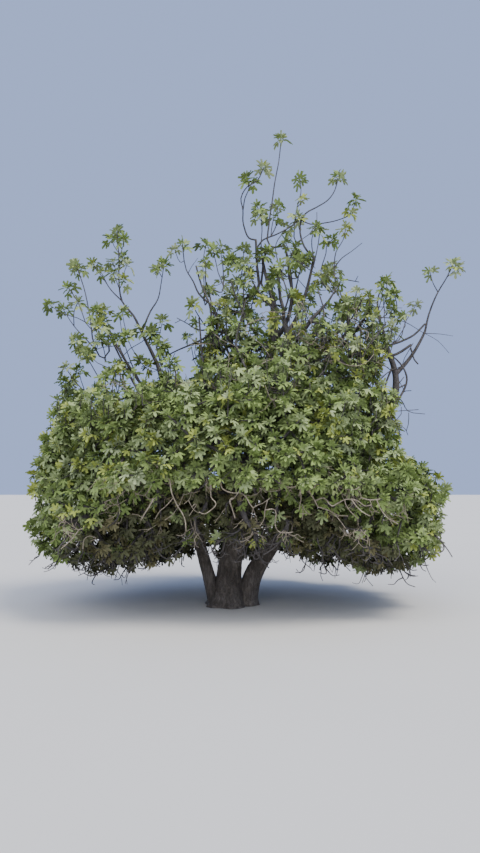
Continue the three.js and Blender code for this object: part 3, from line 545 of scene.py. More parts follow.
# Tones of leaves, and their shares where the crown's tufts stand
GREENS = ("deep", "mid", "sage", "yellow", "pale")
TONES = (*GREENS, "dry", "shade", "olive")
TONE_STRAYS = 0.25
MIDDLE_SHARES = (0.18, 0.545, 0.22, 0.045, 0.01)
ASIDE_SHARES = (0.02, 0.3, 0.43, 0.14, 0.11)
DEEP_SHADE_SHARES = (0.3, 0.5, 0.18, 0.02, 0)
DOME_SHARES = (0.08, 0.4, 0.24, 0.23, 0.05)
SHOOT_SHARES = (0.18, 0.44, 0.26, 0.07, 0.05)
DRAWN_SHARES = (0, 0.42, 0.33, 0.1, 0.15)
# Deeper than this under the crown's skin, tufts take the deep shade shares, with more deep green and no pale:
# painted shade inside the crown
DEEP_INSIDE = 0.3
# How often the greener and the greyer leaves change places, and how far
TONE_PATCHES = (1.4, 1.6)
# Patches of yellow-green and of dry leaves, as pixel and radius in the photograph, how far back they go, and
# how many of their tufts take their tone
YELLOW_PATCHES = ((218, 436, 15), (224, 396, 9), (246, 456, 8), (300, 286, 15), (322, 412, 12), (226, 330, 8))
DRY_PATCHES = ((246, 484, 5),)
PATCH_BACK = 0.6
PATCH_CHANCE = 0.7
# The skirt's middle and half its width in the photograph, and the shade under its front: how far down it
# starts, in the middle and at the sides, how far back it goes, and its tones
SKIRT_MIDDLE = 230
SKIRT_HALF = 170
SHADE_DOWN = (488, 553)
SHADE_BACK = 1.6
SHADE_TONES = ("shade", "olive", "mid", "sage")
SHADE_SHARES = (0.62, 0.22, 0.1, 0.06)

# The bark's relief in the mesh: waves to a limb's radius or a metre, and the collar at a bough's foot
FOLD_WAVES = (1.3, 1.3, 1.6)
LUMP_WAVES = (14, 14, 9)
LUMP_HEIGHT = 0.6
WRINKLE_WAVES = (16, 16, 70)
WRINKLE_HEIGHT = 0.22
COLLAR = 0.5
COLLAR_FADES = 12
STEM_SIDES = 40
BOUGH_SIDES = 16
FEWEST_RINGS = 6

# Marks on a surface: waves a metre, detail, roughness, the noise between none of a mark and all of it, and
# how they are drawn together along each axis
Marks = namedtuple("Marks", "waves detail roughness span stretch", defaults=(None, (1, 1, 1)))
STAINS = Marks(3.2, 5, 0.65, (0.36, 0.66))
PALE_PATCHES = Marks(11, 4, 0.6, (0.52, 0.7))
WRINKLES = Marks(30, 4, 0.6, stretch=(1, 1, 3.2))
CRACKS = Marks(16, 6, 0.7, (0.44, 0.54), (2.2, 2.2, 0.5))
LEAF_BLOTCHES = Marks(26, 3, 0.55, (0.35, 0.68))
PUCKERS = Marks(190, 2, 0.55)
FLOOR_CLOUDS = Marks(0.4, 3, 0.55, (0.3, 0.7))

# Bark: how far its patches and cracks show, their tints, its relief and its roughness
PATCH_SHOWS = 0.45
PATCH_TINT = 1.35
CRACK_SHOWS = 0.5
CRACK_TINT = 0.45
WRINKLE_RELIEF = 0.5
CRACK_RELIEF = 0.6
BARK_ROUGHNESS = (0.72, 0.2)
BARK_BUMP = 0.9
# How much finer its marks are than on the stems, and how deep they are
STEM_FINISH = (1, 0.012)
BOUGH_FINISH = (1.6, 0.006)
TWIG_FINISH = (3, 0.002)
# The heights between which the stems take on the colour of the boughs
ALOFT_FROM = (1.5, 2.6)

# Leaves: tints of their blotches and veins, how far the veins show and smooth the puckers, and their gloss
DARKER_TINT = (0.8, 0)
PALER_TINT = (1.22, 0.006)
VEIN_TINT = (1.5, 0.05)
VEIN_FROM = (0.84, 0.97)
VEIN_SHOWS = 0.45
VEIN_SMOOTHS = 0.8
PUCKER_DEPTH = 0.002
PUCKER_BUMP = 0.6
LEAF_ROUGHNESS = (0.62, 0.16)
LEAF_GLOSS = 0.3

# The stage: half the floor's side, its tint and roughness, and the lights' colours and turns in degrees, and
# how wide the fill light is
FLOOR_HALF = 300
FLOOR_TINT = 0.97
FLOOR_ROUGHNESS = 0.9
KEY_COLOUR = (1, 0.96, 0.88)
KEY_TURN = (34, 0, 48)
FILL_COLOUR = (1, 0.98, 0.94)
FILL_TURN = (50, 0, -12)
FILL_SOFTNESS = 70

# Regions of the crown, each with its own pieces of leaves and twigs, and the nodes that they replace
REGIONS = {
    "skirt_front": ("skirt_front_left", "skirt_front", "skirt_front_right"),
    "skirt_back": ("skirt_back_left", "skirt_back", "skirt_back_right"),
    "skirt_sides": ("skirt_left", "skirt_right"),
    "shoulder": tuple(node for node in NODES if node.startswith("shoulder_")),
    "dome": tuple(node for node in NODES if node.startswith("dome_") and not node.endswith("_shoots")),
    "shoots": tuple(node for node in NODES if node.endswith("_shoots") and not node.startswith("bough_")),
    "dead": ("left_dead_twigs", "right_dead_twigs"),
}


# Curves
def unit(vectors):
    return vectors / np.maximum(np.linalg.norm(vectors, axis=-1, keepdims=True), LEAST_LENGTH)


def mix(first, second, share):
    return first + (second - first) * share


def ramp(values, low, high):
    """How far values are on the way from low to high, from 0 to 1."""
    return np.clip((values - low) / (high - low), 0, 1)


def bezier(curves, shares):
    """Places on cubic curves, given as four points each, at shares of the way."""
    share = np.asarray(shares, float)[..., None]
    rest = 1 - share
    a, b, c, d = (curves[..., i, None, :] for i in range(4))
    return rest**3 * a + 3 * rest**2 * share * b + 3 * rest * share**2 * c + share**3 * d


def bezier_ways(curves, shares):
    """Directions along cubic curves at shares of the way."""
    share = np.asarray(shares, float)[..., None]
    rest = 1 - share
    a, b, c, d = (curves[..., i, None, :] for i in range(4))
    return unit(rest**2 * (b - a) + 2 * rest * share * (c - b) + share**2 * (d - c))


def bent_curve(start, start_way, end, end_way):
    """A curve that leaves a place in one direction and arrives at another in a second direction."""
    pull = np.linalg.norm(end - start) * CURVE_PULL
    return np.array((start, start + start_way * pull, end - end_way * pull, end))


def bend_axes(curves):
    """Directions square to the planes that curves bend in."""
    chords = curves[:, 3] - curves[:, 0]
    lengths = np.linalg.norm(chords, axis=1, keepdims=True)
    axes = np.cross(curves[:, 1] - curves[:, 0], chords)
    straight = np.linalg.norm(axes, axis=1, keepdims=True) < STRAIGHT * lengths**2 * CURVE_PULL
    upright = np.abs(chords[:, 2:]) > UPRIGHT * lengths
    spare = np.cross(chords, np.where(upright, (0.0, 1.0, 0.0), UP))
    return unit(np.where(straight, spare, axes))


def smooth_spans(points):
    """Cubic spans through a row of points, without a bend where they join."""
    points = np.array(points)
    chords = np.diff(points, axis=0)
    lengths = np.linalg.norm(chords, axis=1, keepdims=True)
    ways = unit(np.vstack((chords[:1], unit(chords[:-1]) + unit(chords[1:]), chords[-1:])))
    starts, ends = points[:-1], points[1:]
    spans = (starts, starts + ways[:-1] * lengths / 3, ends - ways[1:] * lengths / 3, ends)
    return np.stack(spans, axis=1)


def square_to(axes, ways):
    """Two directions square to each way and to each other, of which the first is square to an axis too."""
    across = unit(np.cross(axes, ways))
    return across, np.cross(ways, across)


def ring_turns(sides):
    return 2 * math.pi * np.arange(sides) / sides


def spokes(across, aside, sides):
    """The directions from the middles of rings to their corners."""
    turns = ring_turns(sides)
    return across[..., None, :] * np.cos(turns)[:, None] + aside[..., None, :] * np.sin(turns)[:, None]


def photo_place(across, down, depth):
    """The place at a depth that the photograph shows at a pixel."""
    right = (across - PHOTO_MIDDLE[0]) / FOCAL
    up = (PHOTO_MIDDLE[1] - down) / FOCAL
    ahead = math.cos(CAMERA_PITCH) - math.sin(CAMERA_PITCH) * up
    rise = math.sin(CAMERA_PITCH) + math.cos(CAMERA_PITCH) * up
    far = (depth - CAMERA_AT[1]) / ahead
    return np.array((CAMERA_AT[0] + right * far, depth, CAMERA_AT[2] + rise * far))


def photo_pixels(places):
    """The pixels at which the photograph shows places."""
    offset = np.asarray(places) - CAMERA_AT
    far = offset[..., 1] * math.cos(CAMERA_PITCH) + offset[..., 2] * math.sin(CAMERA_PITCH)
    up = offset[..., 2] * math.cos(CAMERA_PITCH) - offset[..., 1] * math.sin(CAMERA_PITCH)
    return np.stack((PHOTO_MIDDLE[0] + FOCAL * offset[..., 0] / far, PHOTO_MIDDLE[1] - FOCAL * up / far), -1)


# Limbs: a stretch of a curve with a radius along it
def make_limb(name, curve, stretch, radii, flare=0.0):
    return SimpleNamespace(name=name, curve=np.array(curve), stretch=stretch, radii=radii, flare=flare)


def limb_shares(limb, shares):
    return mix(*limb.stretch, np.asarray(shares, float))


def limb_places(limb, shares):
    return bezier(limb.curve, limb_shares(limb, shares))


def limb_ways(limb, shares):
    return bezier_ways(limb.curve, limb_shares(limb, shares))


def curve_length(curve):
    places = bezier(curve, np.linspace(0, 1, LENGTH_PLACES))
    return np.linalg.norm(np.diff(places, axis=0), axis=1).sum()


def make_stem(spec):
    way = unit(np.array(spec["lean"], float))
    start = np.array((*spec["foot"], 0.0)) - way * FOOT_BURIED / way[2]
    curve = bent_curve(start, way, np.array(spec["tip"]), unit(np.array(spec["tip_way"], float)))
    return make_limb(spec["name"], curve, (0, 1), spec["radii"], spec["flare"])


def limb_radii(limb, shares, angles):
    """Radii at shares of a limb and angles round it, with the buttresses of the root flare on a stem."""
    plain = mix(*limb.radii, shares)
    if not limb.flare:
        return plain + 0 * angles
    height = np.maximum(0, shares * curve_length(limb.curve) - FOOT_BURIED)
    spread = limb.flare * np.exp(-height / FLARE_HEIGHT)
    return plain + spread * (1 + BUTTRESS_DEPTH * np.cos(BUTTRESSES * angles))


# Masses: each has a middle, a reach, and planes that part it from the others
def hem_height(places):
    forward = np.clip(-places[..., 1] / CROWN_SHAPES[0][1][1], 0, 1)
    return HEM_HEIGHT + FRONT_LIFT * forward**2


def skin_depth(places):
    """How far places lie under the skin of the crown's dense shape, less than 0 outside it."""
    depths = []
    for centre, reach in CROWN_SHAPES:
        offset = places - np.array(centre)
        scaled = np.abs(offset / reach)
        across = np.hypot(scaled[..., 0], scaled[..., 1])
        measure = (across**ROUNDNESS + scaled[..., 2] ** ROUNDNESS) ** (1 / ROUNDNESS)
        depths.append(np.linalg.norm(offset, axis=-1) * (1 / np.maximum(measure, LEAST_MEASURE) - 1))
    return np.logaddexp.reduce(np.array(depths) / CREASE_FILL, axis=0) * CREASE_FILL


def stem_below(out):
    if abs(out[0]) < SIDEWAYS:
        return "trunk"
    return "stem_right" if out[0] > 0 else "stem_left"


def make_mass(centre, reach, tips=(), **given):
    """A mass, which is an open group of leafy shoots on a stem's tip in what isn't given."""
    mass = dict(tier="shoots", bough_radii=None, end_way=None, dense=False, bare=False, course=(), tufts=0,
                leaves_at=BOUGH_LEAVES_AT)
    mass.update(given, centre=np.array(centre), reach=np.array(reach), tips=[np.array(tip) for tip in tips])
    return SimpleNamespace(**mass)


def tier_masses(spec):
    sides = spec["sides"].split()
    for turn, side in zip(2 * math.pi / len(sides) * np.arange(len(sides)), sides):
        out = np.array((math.cos(turn), math.sin(turn), 0.0))
        place = np.array((*spec["axis"], 0.0)) + out * (*spec["ring"], 0)
        low = max(spec["bottom"], float(hem_height(place)))
        place[2] = (spec["top"] + low) / 2
        yield make_mass(place, (*spec["reach"], (spec["top"] - low) / 2), name=f"{spec['tier']}_{side}",
                        on=stem_below(out), tier=spec["tier"], end_way=unit(out + UP * spec["droop"]),
                        bough_radii=spec["bough_radii"], dense=True)


def all_masses():
    """Every mass, with its seed and the planes that part it from the others."""
    masses = [mass for spec in TIERS for mass in tier_masses(spec)]
    masses += [make_mass(**spec) for spec in SHOOT_GROUPS]
    for i, mass in enumerate(masses):
        mass.seed = SEED + i
        others = [other for other in masses if other is not mass]
        offsets = np.array([other.centre - mass.centre for other in others])
        mass.plane_ways = unit(offsets)
        mine = 1 / np.linalg.norm(mass.plane_ways / mass.reach, axis=1)
        theirs = 1 / np.linalg.norm(mass.plane_ways / [other.reach for other in others], axis=1)
        between = np.linalg.norm(offsets, axis=1)
        mass.plane_limits = mass.plane_ways @ mass.centre + between * mine / (mine + theirs) - CELL_GAP
    return masses


def in_space(mass, places):
    """Which places lie in a mass's own space."""
    inside = (((places - mass.centre) / mass.reach) ** 2).sum(-1) < 1
    inside &= (places @ mass.plane_ways.T < mass.plane_limits).all(-1)
    if mass.dense:
        inside &= (skin_depth(places) > 0) & (places[..., 2] > hem_height(places))
    return inside


def route_to_mass(mass, carrier):
    """The curve of a mass's bough and stem, from the limb that carries it to its middle or first tip."""
    end = mass.tips[0] if mass.tips else mass.centre
    if mass.bough_radii is None:
        way = limb_ways(carrier, [1])[0]
        return bent_curve(limb_places(carrier, [1])[0], way, end, UP)
    shares = np.arange(0, HIGHEST_FORK, ROUTE_STEP)
    below = limb_places(carrier, shares)[:, 2] < mass.centre[2] * mass.leaves_at
    share = shares[below.argmin()] if not below.all() else HIGHEST_FORK
    start = limb_places(carrier, [share])[0]
    out = unit((end - start) * LEVEL)
    start_way = unit(out + UP * ROOT_RISE)
    if mass.bare:
        return bent_curve(start, start_way, end, unit(end - start))
    end_way = unit(out * SHOOT_OUT + UP * SHOOT_RISE) if mass.end_way is None else mass.end_way
    return bent_curve(start, start_way, end, end_way)


def entry_share(mass, route, carrier):
    """Where a route comes into its mass's space for good, or 0 where too little of it would show."""
    if mass.bough_radii is None:
        return 0
    shares = np.arange(1, 0, -ROUTE_STEP)
    inside = in_space(mass, bezier(route, shares))
    share = shares[max(inside.argmin() - 1, 0)] if not inside.all() else shares[-1]
    knots = np.linspace(0, 1, LIMB_KNOTS + 1)
    gaps = np.linalg.norm(limb_places(carrier, knots) - bezier(route, [share]), axis=1)
    shown = (gaps > limb_radii(carrier, knots, 0 * knots) + BOUGH_LEAST).all()
    return share if shown else 0


# Growth: knots that twigs set off from, and the twigs themselves
class Growth:
    """What grows together: each twig's curve, its parent or -1, its radii, kind, leaves and tone."""

    def __init__(self):
        self.places = np.zeros((0, 3))
        self.ways = np.zeros((0, 3))
        self.owners = np.zeros(0, int)
        self.twigs = []

    def add_knots(self, curve, shares, owner):
        self.places = np.vstack((self.places, bezier(curve, shares)))
        self.ways = np.vstack((self.ways, bezier_ways(curve, shares)))
        self.owners = np.append(self.owners, np.full(len(shares), owner))

    def add_twig(self, curve, parent, knots=TWIG_KNOTS, radii=None, kind="twig"):
        twig = SimpleNamespace(curve=curve, parent=parent, radii=radii, kind=kind, leaves=0, tone=0)
        self.twigs.append(twig)
        self.add_knots(curve, knots, len(self.twigs) - 1)
        return twig

    def nearest(self, tip, climb):
        """The knot with the shortest way to a tip, where a turn and a level course count as extra length."""
        offsets = tip - self.places
        lengths = np.linalg.norm(offsets, axis=1)
        along = (offsets * self.ways).sum(1)
        return int((lengths + TURN_COST * (lengths - along) + climb * (lengths - offsets[:, 2])).argmin())

    def grow_to(self, tip, end_pull, kind="twig", climb=0):
        """A twig from the nearest knot to a tip, which it reaches turned towards a pull."""
        knot = self.nearest(tip, climb)
        start, before = self.places[knot], self.ways[knot]
        way = unit(tip - start)
        curve = bent_curve(start, unit(way + before * TWIG_FOLLOWS), tip, unit(way + end_pull))
        return self.add_twig(curve, self.owners[knot], kind=kind)

    def thicken(self):
        """Radii that grow with what each twig carries."""
        weights = np.ones(len(self.twigs))
        ends = np.full(len(self.twigs), TIP_RADIUS)
        for i in range(len(self.twigs) - 1, -1, -1):
            twig = self.twigs[i]
            start = TIP_RADIUS * weights[i] ** PIPE_GROWTH
            if twig.radii is None:
                twig.radii = (start, min(start, ends[i]))
            if twig.parent >= 0:
                weights[twig.parent] += weights[i]
                parent = self.twigs[twig.parent].curve
                beyond = np.linalg.norm(parent[3] - twig.curve[0])
                if beyond < NEAR_END * np.linalg.norm(parent[3] - parent[0]):
                    ends[twig.parent] = max(ends[twig.parent], twig.radii[0])


def spread_out(places, count):
    """Indexes of places that lie as far apart as possible."""
    picked = [0]
    gaps = np.linalg.norm(places - places[0], axis=1)
    while len(picked) < min(count, len(places)):
        picked.append(int(gaps.argmax()))
        gaps = np.minimum(gaps, np.linalg.norm(places - places[picked[-1]], axis=1))
    return picked


def open_share(places, leafing):
    """How open the crown is at places, from 0 to 1. It opens from a height on, which is lower on its left."""
    left = ramp(places[..., 0], *OPEN_LEFT)
    start = mix(OPEN_LEFT_ABOVE, leafing.open_above, left)
    return np.clip((places[..., 2] - start) / mix(OPEN_LEFT_OVER, leafing.open_over, left), 0, 1)


def right_inset(places):
    """How much further in leaves grow on the right of the upper crown, where bare twigs show."""
    right, high = (ramp(places[..., axis], low, top) for axis, low, top in RIGHT_FROM)
    return RIGHT_INSET * right * high


def front_hem(places):
    """The height from which leaves grow in the skirt's front, which rises towards the viewer."""
    return FRONT_HEM * ramp(places[:, 1], *FRONT_HEM_FROM)


def tuft_sites(mass, leafing, rng):
    """Places for tufts of leaves, packed under the skin of the crown and ever sparser further in."""
    tried = mass.centre + mass.reach * rng.uniform(-1, 1, (SITE_TRIES, 3))
    tried = tried[in_space(mass, tried)]
    uneven = sum(high * np.array([noise.noise(place * often) for place in tried])
                 for often, high in SKIN_WAVES)
    depth = skin_depth(tried) - leafing.skin_inset * (1 + uneven) - right_inset(tried)
    chance = np.exp(-((depth / leafing.skin_depth) ** 2)) * (1 - OPEN_RARER * open_share(tried, leafing))
    low = tried[:, 2] < FRONT_HEM
    chance = np.maximum(chance, low * np.where(tried[:, 1] < CURTAIN_FROM, CURTAIN, INSIDE_LOW))
    shown = (depth > 0) & (rng.random(len(tried)) < chance)
    shown &= tried[:, 2] > front_hem(tried)
    tried = tried[shown]
    spacing = leafing.tuft_spacing * (1 + leafing.openness * open_share(tried, leafing))
    kept = np.zeros((0, 3))
    for place, gap in zip(tried, spacing):
        if len(kept) == 0 or (((kept - place) ** 2).sum(1) > gap**2).all():
            kept = np.vstack((kept, place))
    return kept


def in_shade(place):
    """Whether a place lies under the skirt's front, in the shade of the crown."""
    across, down = photo_pixels(place)
    low = mix(*SHADE_DOWN, (abs(across - SKIRT_MIDDLE) / SKIRT_HALF) ** 2)
    return bool(place[1] < SHADE_BACK and down > low)


def draw_tone(tones, shares, rng):
    """One of the tones by their shares, as its number."""
    return TONES.index(tones[rng.choice(len(tones), p=shares)])


def pick_tone(mass, place, depth, rng):
    """The tone of one tuft, by its place in the crown."""
    # Painted shade: under the skirt's front, tufts take the darker, browner shade tones
    if in_shade(place):
        return draw_tone(SHADE_TONES, SHADE_SHARES, rng)
    pixel = photo_pixels(place)
    for tone, patches in (("yellow", YELLOW_PATCHES), ("dry", DRY_PATCHES)):
        near = any(math.dist(pixel, middle) < radius for *middle, radius in patches)
        if near and place[1] < PATCH_BACK and rng.random() < PATCH_CHANCE:
            return TONES.index(tone)
    if mass.tier == "shoots":
        shares = SHOOT_SHARES
    # Painted shade: tufts deep inside the crown take more of the deep green
    elif depth > DEEP_INSIDE:
        shares = DEEP_SHADE_SHARES
    elif mass.tier == "dome":
        shares = DOME_SHARES
    else:
        patch = TONE_PATCHES[1] * noise.noise(place * TONE_PATCHES[0])
        aside = float(np.clip(abs(pixel[0] - SKIRT_MIDDLE) / SKIRT_HALF + patch, 0, 1))
        shares = mix(np.array(MIDDLE_SHARES), np.array(ASIDE_SHARES), aside)
    return draw_tone(GREENS, shares, rng)


def random_count(fewest, most, rng):
    return int(rng.integers(fewest, most, endpoint=True))


def pick_knots(fit, count, rng):
    """A number of the knots that fit, or all of them if there are fewer."""
    fitting = np.flatnonzero(fit)
    return rng.choice(fitting, min(count, len(fitting)), replace=False)


def level_ways(mass):
    """The level directions outwards from the crown's heart through a mass, and square to that."""
    outwards = unit((mass.centre - HEART) * LEVEL)
    return outwards, np.cross(UP, outwards)


def grow_dense(growth, mass, leafing, rng):
    """Leafy twigs to tufts all over a dense mass, a few main ones first and then from its middle outwards."""
    sites = tuft_sites(mass, leafing, rng)
    mains = spread_out(sites, MAIN_TWIGS)
    rest = np.setdiff1d(np.arange(len(sites)), mains)
    nearness = np.linalg.norm(sites[rest] - mass.centre, axis=1)
    depths = skin_depth(sites)
    for i in (*mains, *rest[nearness.argsort()]):
        twig = growth.grow_to(sites[i], UP * TWIG_RISE + unit(sites[i] - HEART) * TWIG_OUT)
        deep = min(depths[i] / leafing.skin_depth, 1)
        few, many = mix(np.array(leafing.tuft_leaves), np.array(DEEP_LEAVES), deep)
        fewer = 1 - OPEN_SMALLER * float(open_share(sites[i], leafing))
        twig.leaves = random_count(int(few * fewer), int(many * fewer), rng)
        twig.tone = pick_tone(mass, sites[i], depths[i], rng)


def wander(start, way, long, steps, sag, rng):
    """A row of places along a crooked twig, which sags and then curls up."""
    places = [start]
    for pull in np.linspace(-sag, sag, steps):
        way = unit(way + UP * pull + rng.normal(0, CROOKED, 3))
        places.append(np.maximum(places[-1] + way * long / steps, (-np.inf, -np.inf, TWIG_LOWEST)))
    return places


def grow_crooked(growth, knot, way, long, sags, kind, radii, rng):
    """A crooked bare twig with a shorter one that forks from it."""
    radii = np.array(radii) * rng.uniform(*CROOKED_RADII)
    sag = rng.uniform(*sags)
    places = wander(growth.places[knot], way, long, CROOKED_STEPS, sag, rng)
    grow_course(growth, growth.owners[knot], places, radii, kind)
    side = unit(places[FORK_AT + 1] - places[FORK_AT] + rng.normal(0, FORK_TURN * long, 3))
    fork = wander(places[FORK_AT], side, long * FORK_LENGTH, FORK_STEPS, sag, rng)
    grow_course(growth, growth.owners[knot], fork, radii * FORK_RADII, kind)


def grow_hanging(growth, mass, count, rng):
    """Bare twigs that hang from under a skirt mass."""
    low = growth.places[:, 2] < hem_height(growth.places) + HANGING_ABOVE
    outwards, aside = level_ways(mass)
    for knot in pick_knots(low, count, rng):
        way = unit(outwards + aside * rng.uniform(*HANGING_ASIDES) - UP * rng.uniform(*HANGING_FALLS))
        long = rng.uniform(*HANGING_LENGTHS)
        grow_crooked(growth, knot, way, long, HANGING_SAGS, "twig", HANGING_RADII, rng)


def grow_pale(growth, count, rng):
    """Pale dry twigs under the skirt's front."""
    high = growth.places[:, 2]
    above = high - front_hem(growth.places)
    near = (growth.places[:, 1] < PALE_FROM) & (high > PALE_LOWEST) & (above < PALE_ABOVE)
    for knot in pick_knots(near, count, rng):
        way = unit(np.array([rng.uniform(*span) for span in PALE_WAYS]))
        grow_crooked(growth, knot, way, rng.uniform(*PALE_LENGTHS), PALE_SAGS, "dry", PALE_RADII, rng)


def grow_tangle(growth, mass, count, rng):
    """Bare twigs, living and dry, between the leaves of the crown's upper part."""
    near = skin_depth(growth.places) < TANGLE_DEPTH
    outwards, aside = level_ways(mass)
    count = count * DOME_TANGLE if mass.tier == "dome" else count
    for knot in pick_knots(near, count, rng):
        way = outwards * rng.uniform(*TANGLE_OUTS) + aside * rng.uniform(*TANGLE_ASIDES)
        way = unit(way + UP * rng.uniform(*TANGLE_RISES))
        kind = "dry" if rng.random() < TANGLE_DRY else "twig"
        long = rng.uniform(*TANGLE_LENGTHS)
        grow_crooked(growth, knot, way, long, PALE_SAGS, kind, TANGLE_RADII, rng)


def grow_risers(growth, mass, count, rng):
    """Short shoots that rise clear of the crown's skin, some bare and some with leaves at their tips."""
    left = mass.name == "shoulder_left"
    airy = mass.tier == "dome" or left
    near = (skin_depth(growth.places) < RISER_DEPTH) & (growth.places[:, 2] > RISER_ABOVE)
    outwards, aside = level_ways(mass)
    leans = LEFT_RISER_LEANS if left else RISER_LEANS
    for knot in pick_knots(near, count * AIRY_RISERS if airy else count, rng):
        start = growth.places[knot]
        lean = outwards * rng.uniform(*leans) + aside * rng.uniform(*RISER_ASIDES)
        tip = start + unit(UP + lean) * rng.uniform(*RISER_LENGTHS) * (AIRY_LONGER if airy else 1)
        end_way = unit(UP + lean * rng.uniform(*RISER_CURLS))
        curve = bent_curve(start, unit(UP * RISER_FOOT_RISE + lean), tip, end_way)
        twig = growth.add_twig(curve, growth.owners[knot])
        twig.leaves = random_count(*RISER_LEAVES, rng) if rng.random() < RISER_LEAFY else 0
        twig.tone = pick_tone(mass, tip, 0, rng)


def grow_open(growth, mass, rng):
    """Twigs to an open group's further tips, with leaves if it has any."""
    for tip in mass.tips[1:]:
        twig = growth.grow_to(tip, UP * (0 if mass.bare else TWIG_RISE), "bare" if mass.bare else "twig")
        twig.leaves = 0 if mass.bare else random_count(*TIP_LEAVES, rng)
        twig.tone = pick_tone(mass, tip, 0, rng)


def grow_tufts(growth, mass, rng):
    """Leafy shoots that climb to places all over an open group's space, from whatever has grown there."""
    tried = mass.centre + mass.reach * rng.uniform(-1, 1, (TUFT_TRIES * mass.tufts, 3))
    tried = tried[in_space(mass, tried)]
    for tip in sorted((tried[i] for i in spread_out(tried, mass.tufts)), key=lambda place: place[2]):
        twig = growth.grow_to(tip, UP * TWIG_RISE, climb=CLIMB)
        twig.radii = TUFT_RADII
        twig.leaves = random_count(*TIP_LEAVES, rng)
        twig.tone = pick_tone(mass, tip, 0, rng)


def grow_drawn(growth, drawn, rng):
    """A shoot along the pixels that the photograph shows, from what has grown nearest to the first one."""
    depth, leaves, radii, pixels = drawn
    depth = depth * DRAWN_SPREAD if abs(depth) < DRAWN_NEAR_PLANE else depth
    gaps = np.linalg.norm(photo_pixels(growth.places) - pixels[0], axis=1)
    knot = int((gaps + DRAWN_DEPTH * np.abs(growth.places[:, 1] - depth)).argmin())
    start = growth.places[knot]
    ahead = pixels if gaps[knot] > DRAWN_NEAR else pixels[1:]
    depths = mix(start[1], depth, np.linspace(0, 1, len(ahead) + 1)[1:])
    points = [start, *(photo_place(*pixel, at) for pixel, at in zip(ahead, depths))]
    dry = leaves < 0
    radii = np.array(radii) * MILLIMETRE * (1 if dry else DRAWN_THICKER)
    grow_course(growth, growth.owners[knot], points, radii, "dry" if dry else "twig")
    growth.twigs[-1].leaves = max(leaves, 0)
    growth.twigs[-1].tone = draw_tone(GREENS, DRAWN_SHARES, rng)


def grow_course(growth, parent, points, radii, kind):
    """One limb through a row of points, as twigs that follow each other."""
    spans = smooth_spans(points)
    for i, span in enumerate(spans):
        ends = mix(*radii, 1 - (1 - np.array((i, i + 1)) / len(spans)) ** COURSE_TAPER)
        growth.add_twig(span, parent, COURSE_KNOTS, tuple(ends), kind)
        parent = len(growth.twigs) - 1


def grow_mass(mass, stem, carrier, leafing):
    """All that grows in one mass's space, from the stem that leads into it."""
    rng = np.random.default_rng(mass.seed)
    thick = mass.bough_radii[1] if mass.bough_radii else carrier.radii[1]
    thin = thick * STEM_END if mass.dense or mass.bare else SHOOT_END
    kind = "bare" if mass.bare else "stem"
    growth = Growth()
    if mass.course:
        points = [stem[0], *(photo_place(*pixel, mass.tips[0][1]) for pixel in mass.course)]
        grow_course(growth, -1, points if mass.bare else [*points, stem[3]], (thick, thin), kind)
    else:
        growth.add_twig(stem, -1, np.linspace(*STEM_KNOTS), (thick, thin), kind)
    if not mass.dense:
        growth.twigs[-1].leaves = 0 if mass.bare else STEM_LEAVES
        growth.twigs[-1].tone = TONES.index("sage")
        grow_open(growth, mass, rng)
    else:
        grow_dense(growth, mass, leafing, rng)
        if mass.tier == "skirt":
            grow_hanging(growth, mass, leafing.hanging_twigs, rng)
            grow_pale(growth, leafing.pale_twigs, rng)
        else:
            grow_tangle(growth, mass, leafing.tangled_twigs, rng)
        grow_risers(growth, mass, leafing.risers, rng)
    growth.thicken()
    return growth


def grow_shoots(grown, limbs, masses):
    """The open groups' tufts and the drawn shoots, which set off from anything that has grown."""
    growth = Growth()
    growth.places = np.vstack([other.places for other in grown])
    growth.ways = np.vstack([other.ways for other in grown])
    growth.owners = np.full(len(growth.places), -1)
    for limb in limbs:
        growth.add_knots(limb.curve, np.linspace(*limb.stretch, LIMB_KNOTS), -1)
    rng = np.random.default_rng(SEED)
    for mass in masses:
        if mass.tufts:
            grow_tufts(growth, mass, rng)
    for drawn in DRAWN_SHOOTS:
        grow_drawn(growth, drawn, rng)
    return growth.twigs


@functools.lru_cache(maxsize=1)
def grown_tree(leafing_key):
    """The limbs, and the twigs of each region of the crown."""
    leafing = SimpleNamespace(**dict(leafing_key))
    limbs = [make_stem(spec) for spec in STEMS]
    carriers = {limb.name: limb for limb in limbs}
    region_of = {node: region for region, nodes in REGIONS.items() for node in nodes}
    regions = {region: [] for region in REGIONS}
    masses = all_masses()
    grown = []
    for mass in masses:
        carrier = carriers[mass.on]
        route = route_to_mass(mass, carrier)
        entry = entry_share(mass, route, carrier)
        if entry > 0:
            limbs.append(make_limb(f"bough_{mass.name}", route, (0, entry), mass.bough_radii))
        grown.append(grow_mass(mass, split_curve(route, entry), carrier, leafing))
        regions[region_of[mass.name]] += grown[-1].twigs
    shoots = grow_shoots(grown, limbs, masses)
    regions["shoots"] += [twig for twig in shoots if twig.kind == "twig"]
    regions["dead"] += [twig for twig in shoots if twig.kind == "dry"]
    return limbs, regions


def split_curve(curve, share):
    """The part of a cubic curve beyond a share of it."""
    points = [np.array(point) for point in curve]
    kept = [points[3]]
    while len(points) > 1:
        points = [mix(a, b, share) for a, b in zip(points, points[1:])]
        kept.append(points[-1])
    return np.array(kept[::-1])


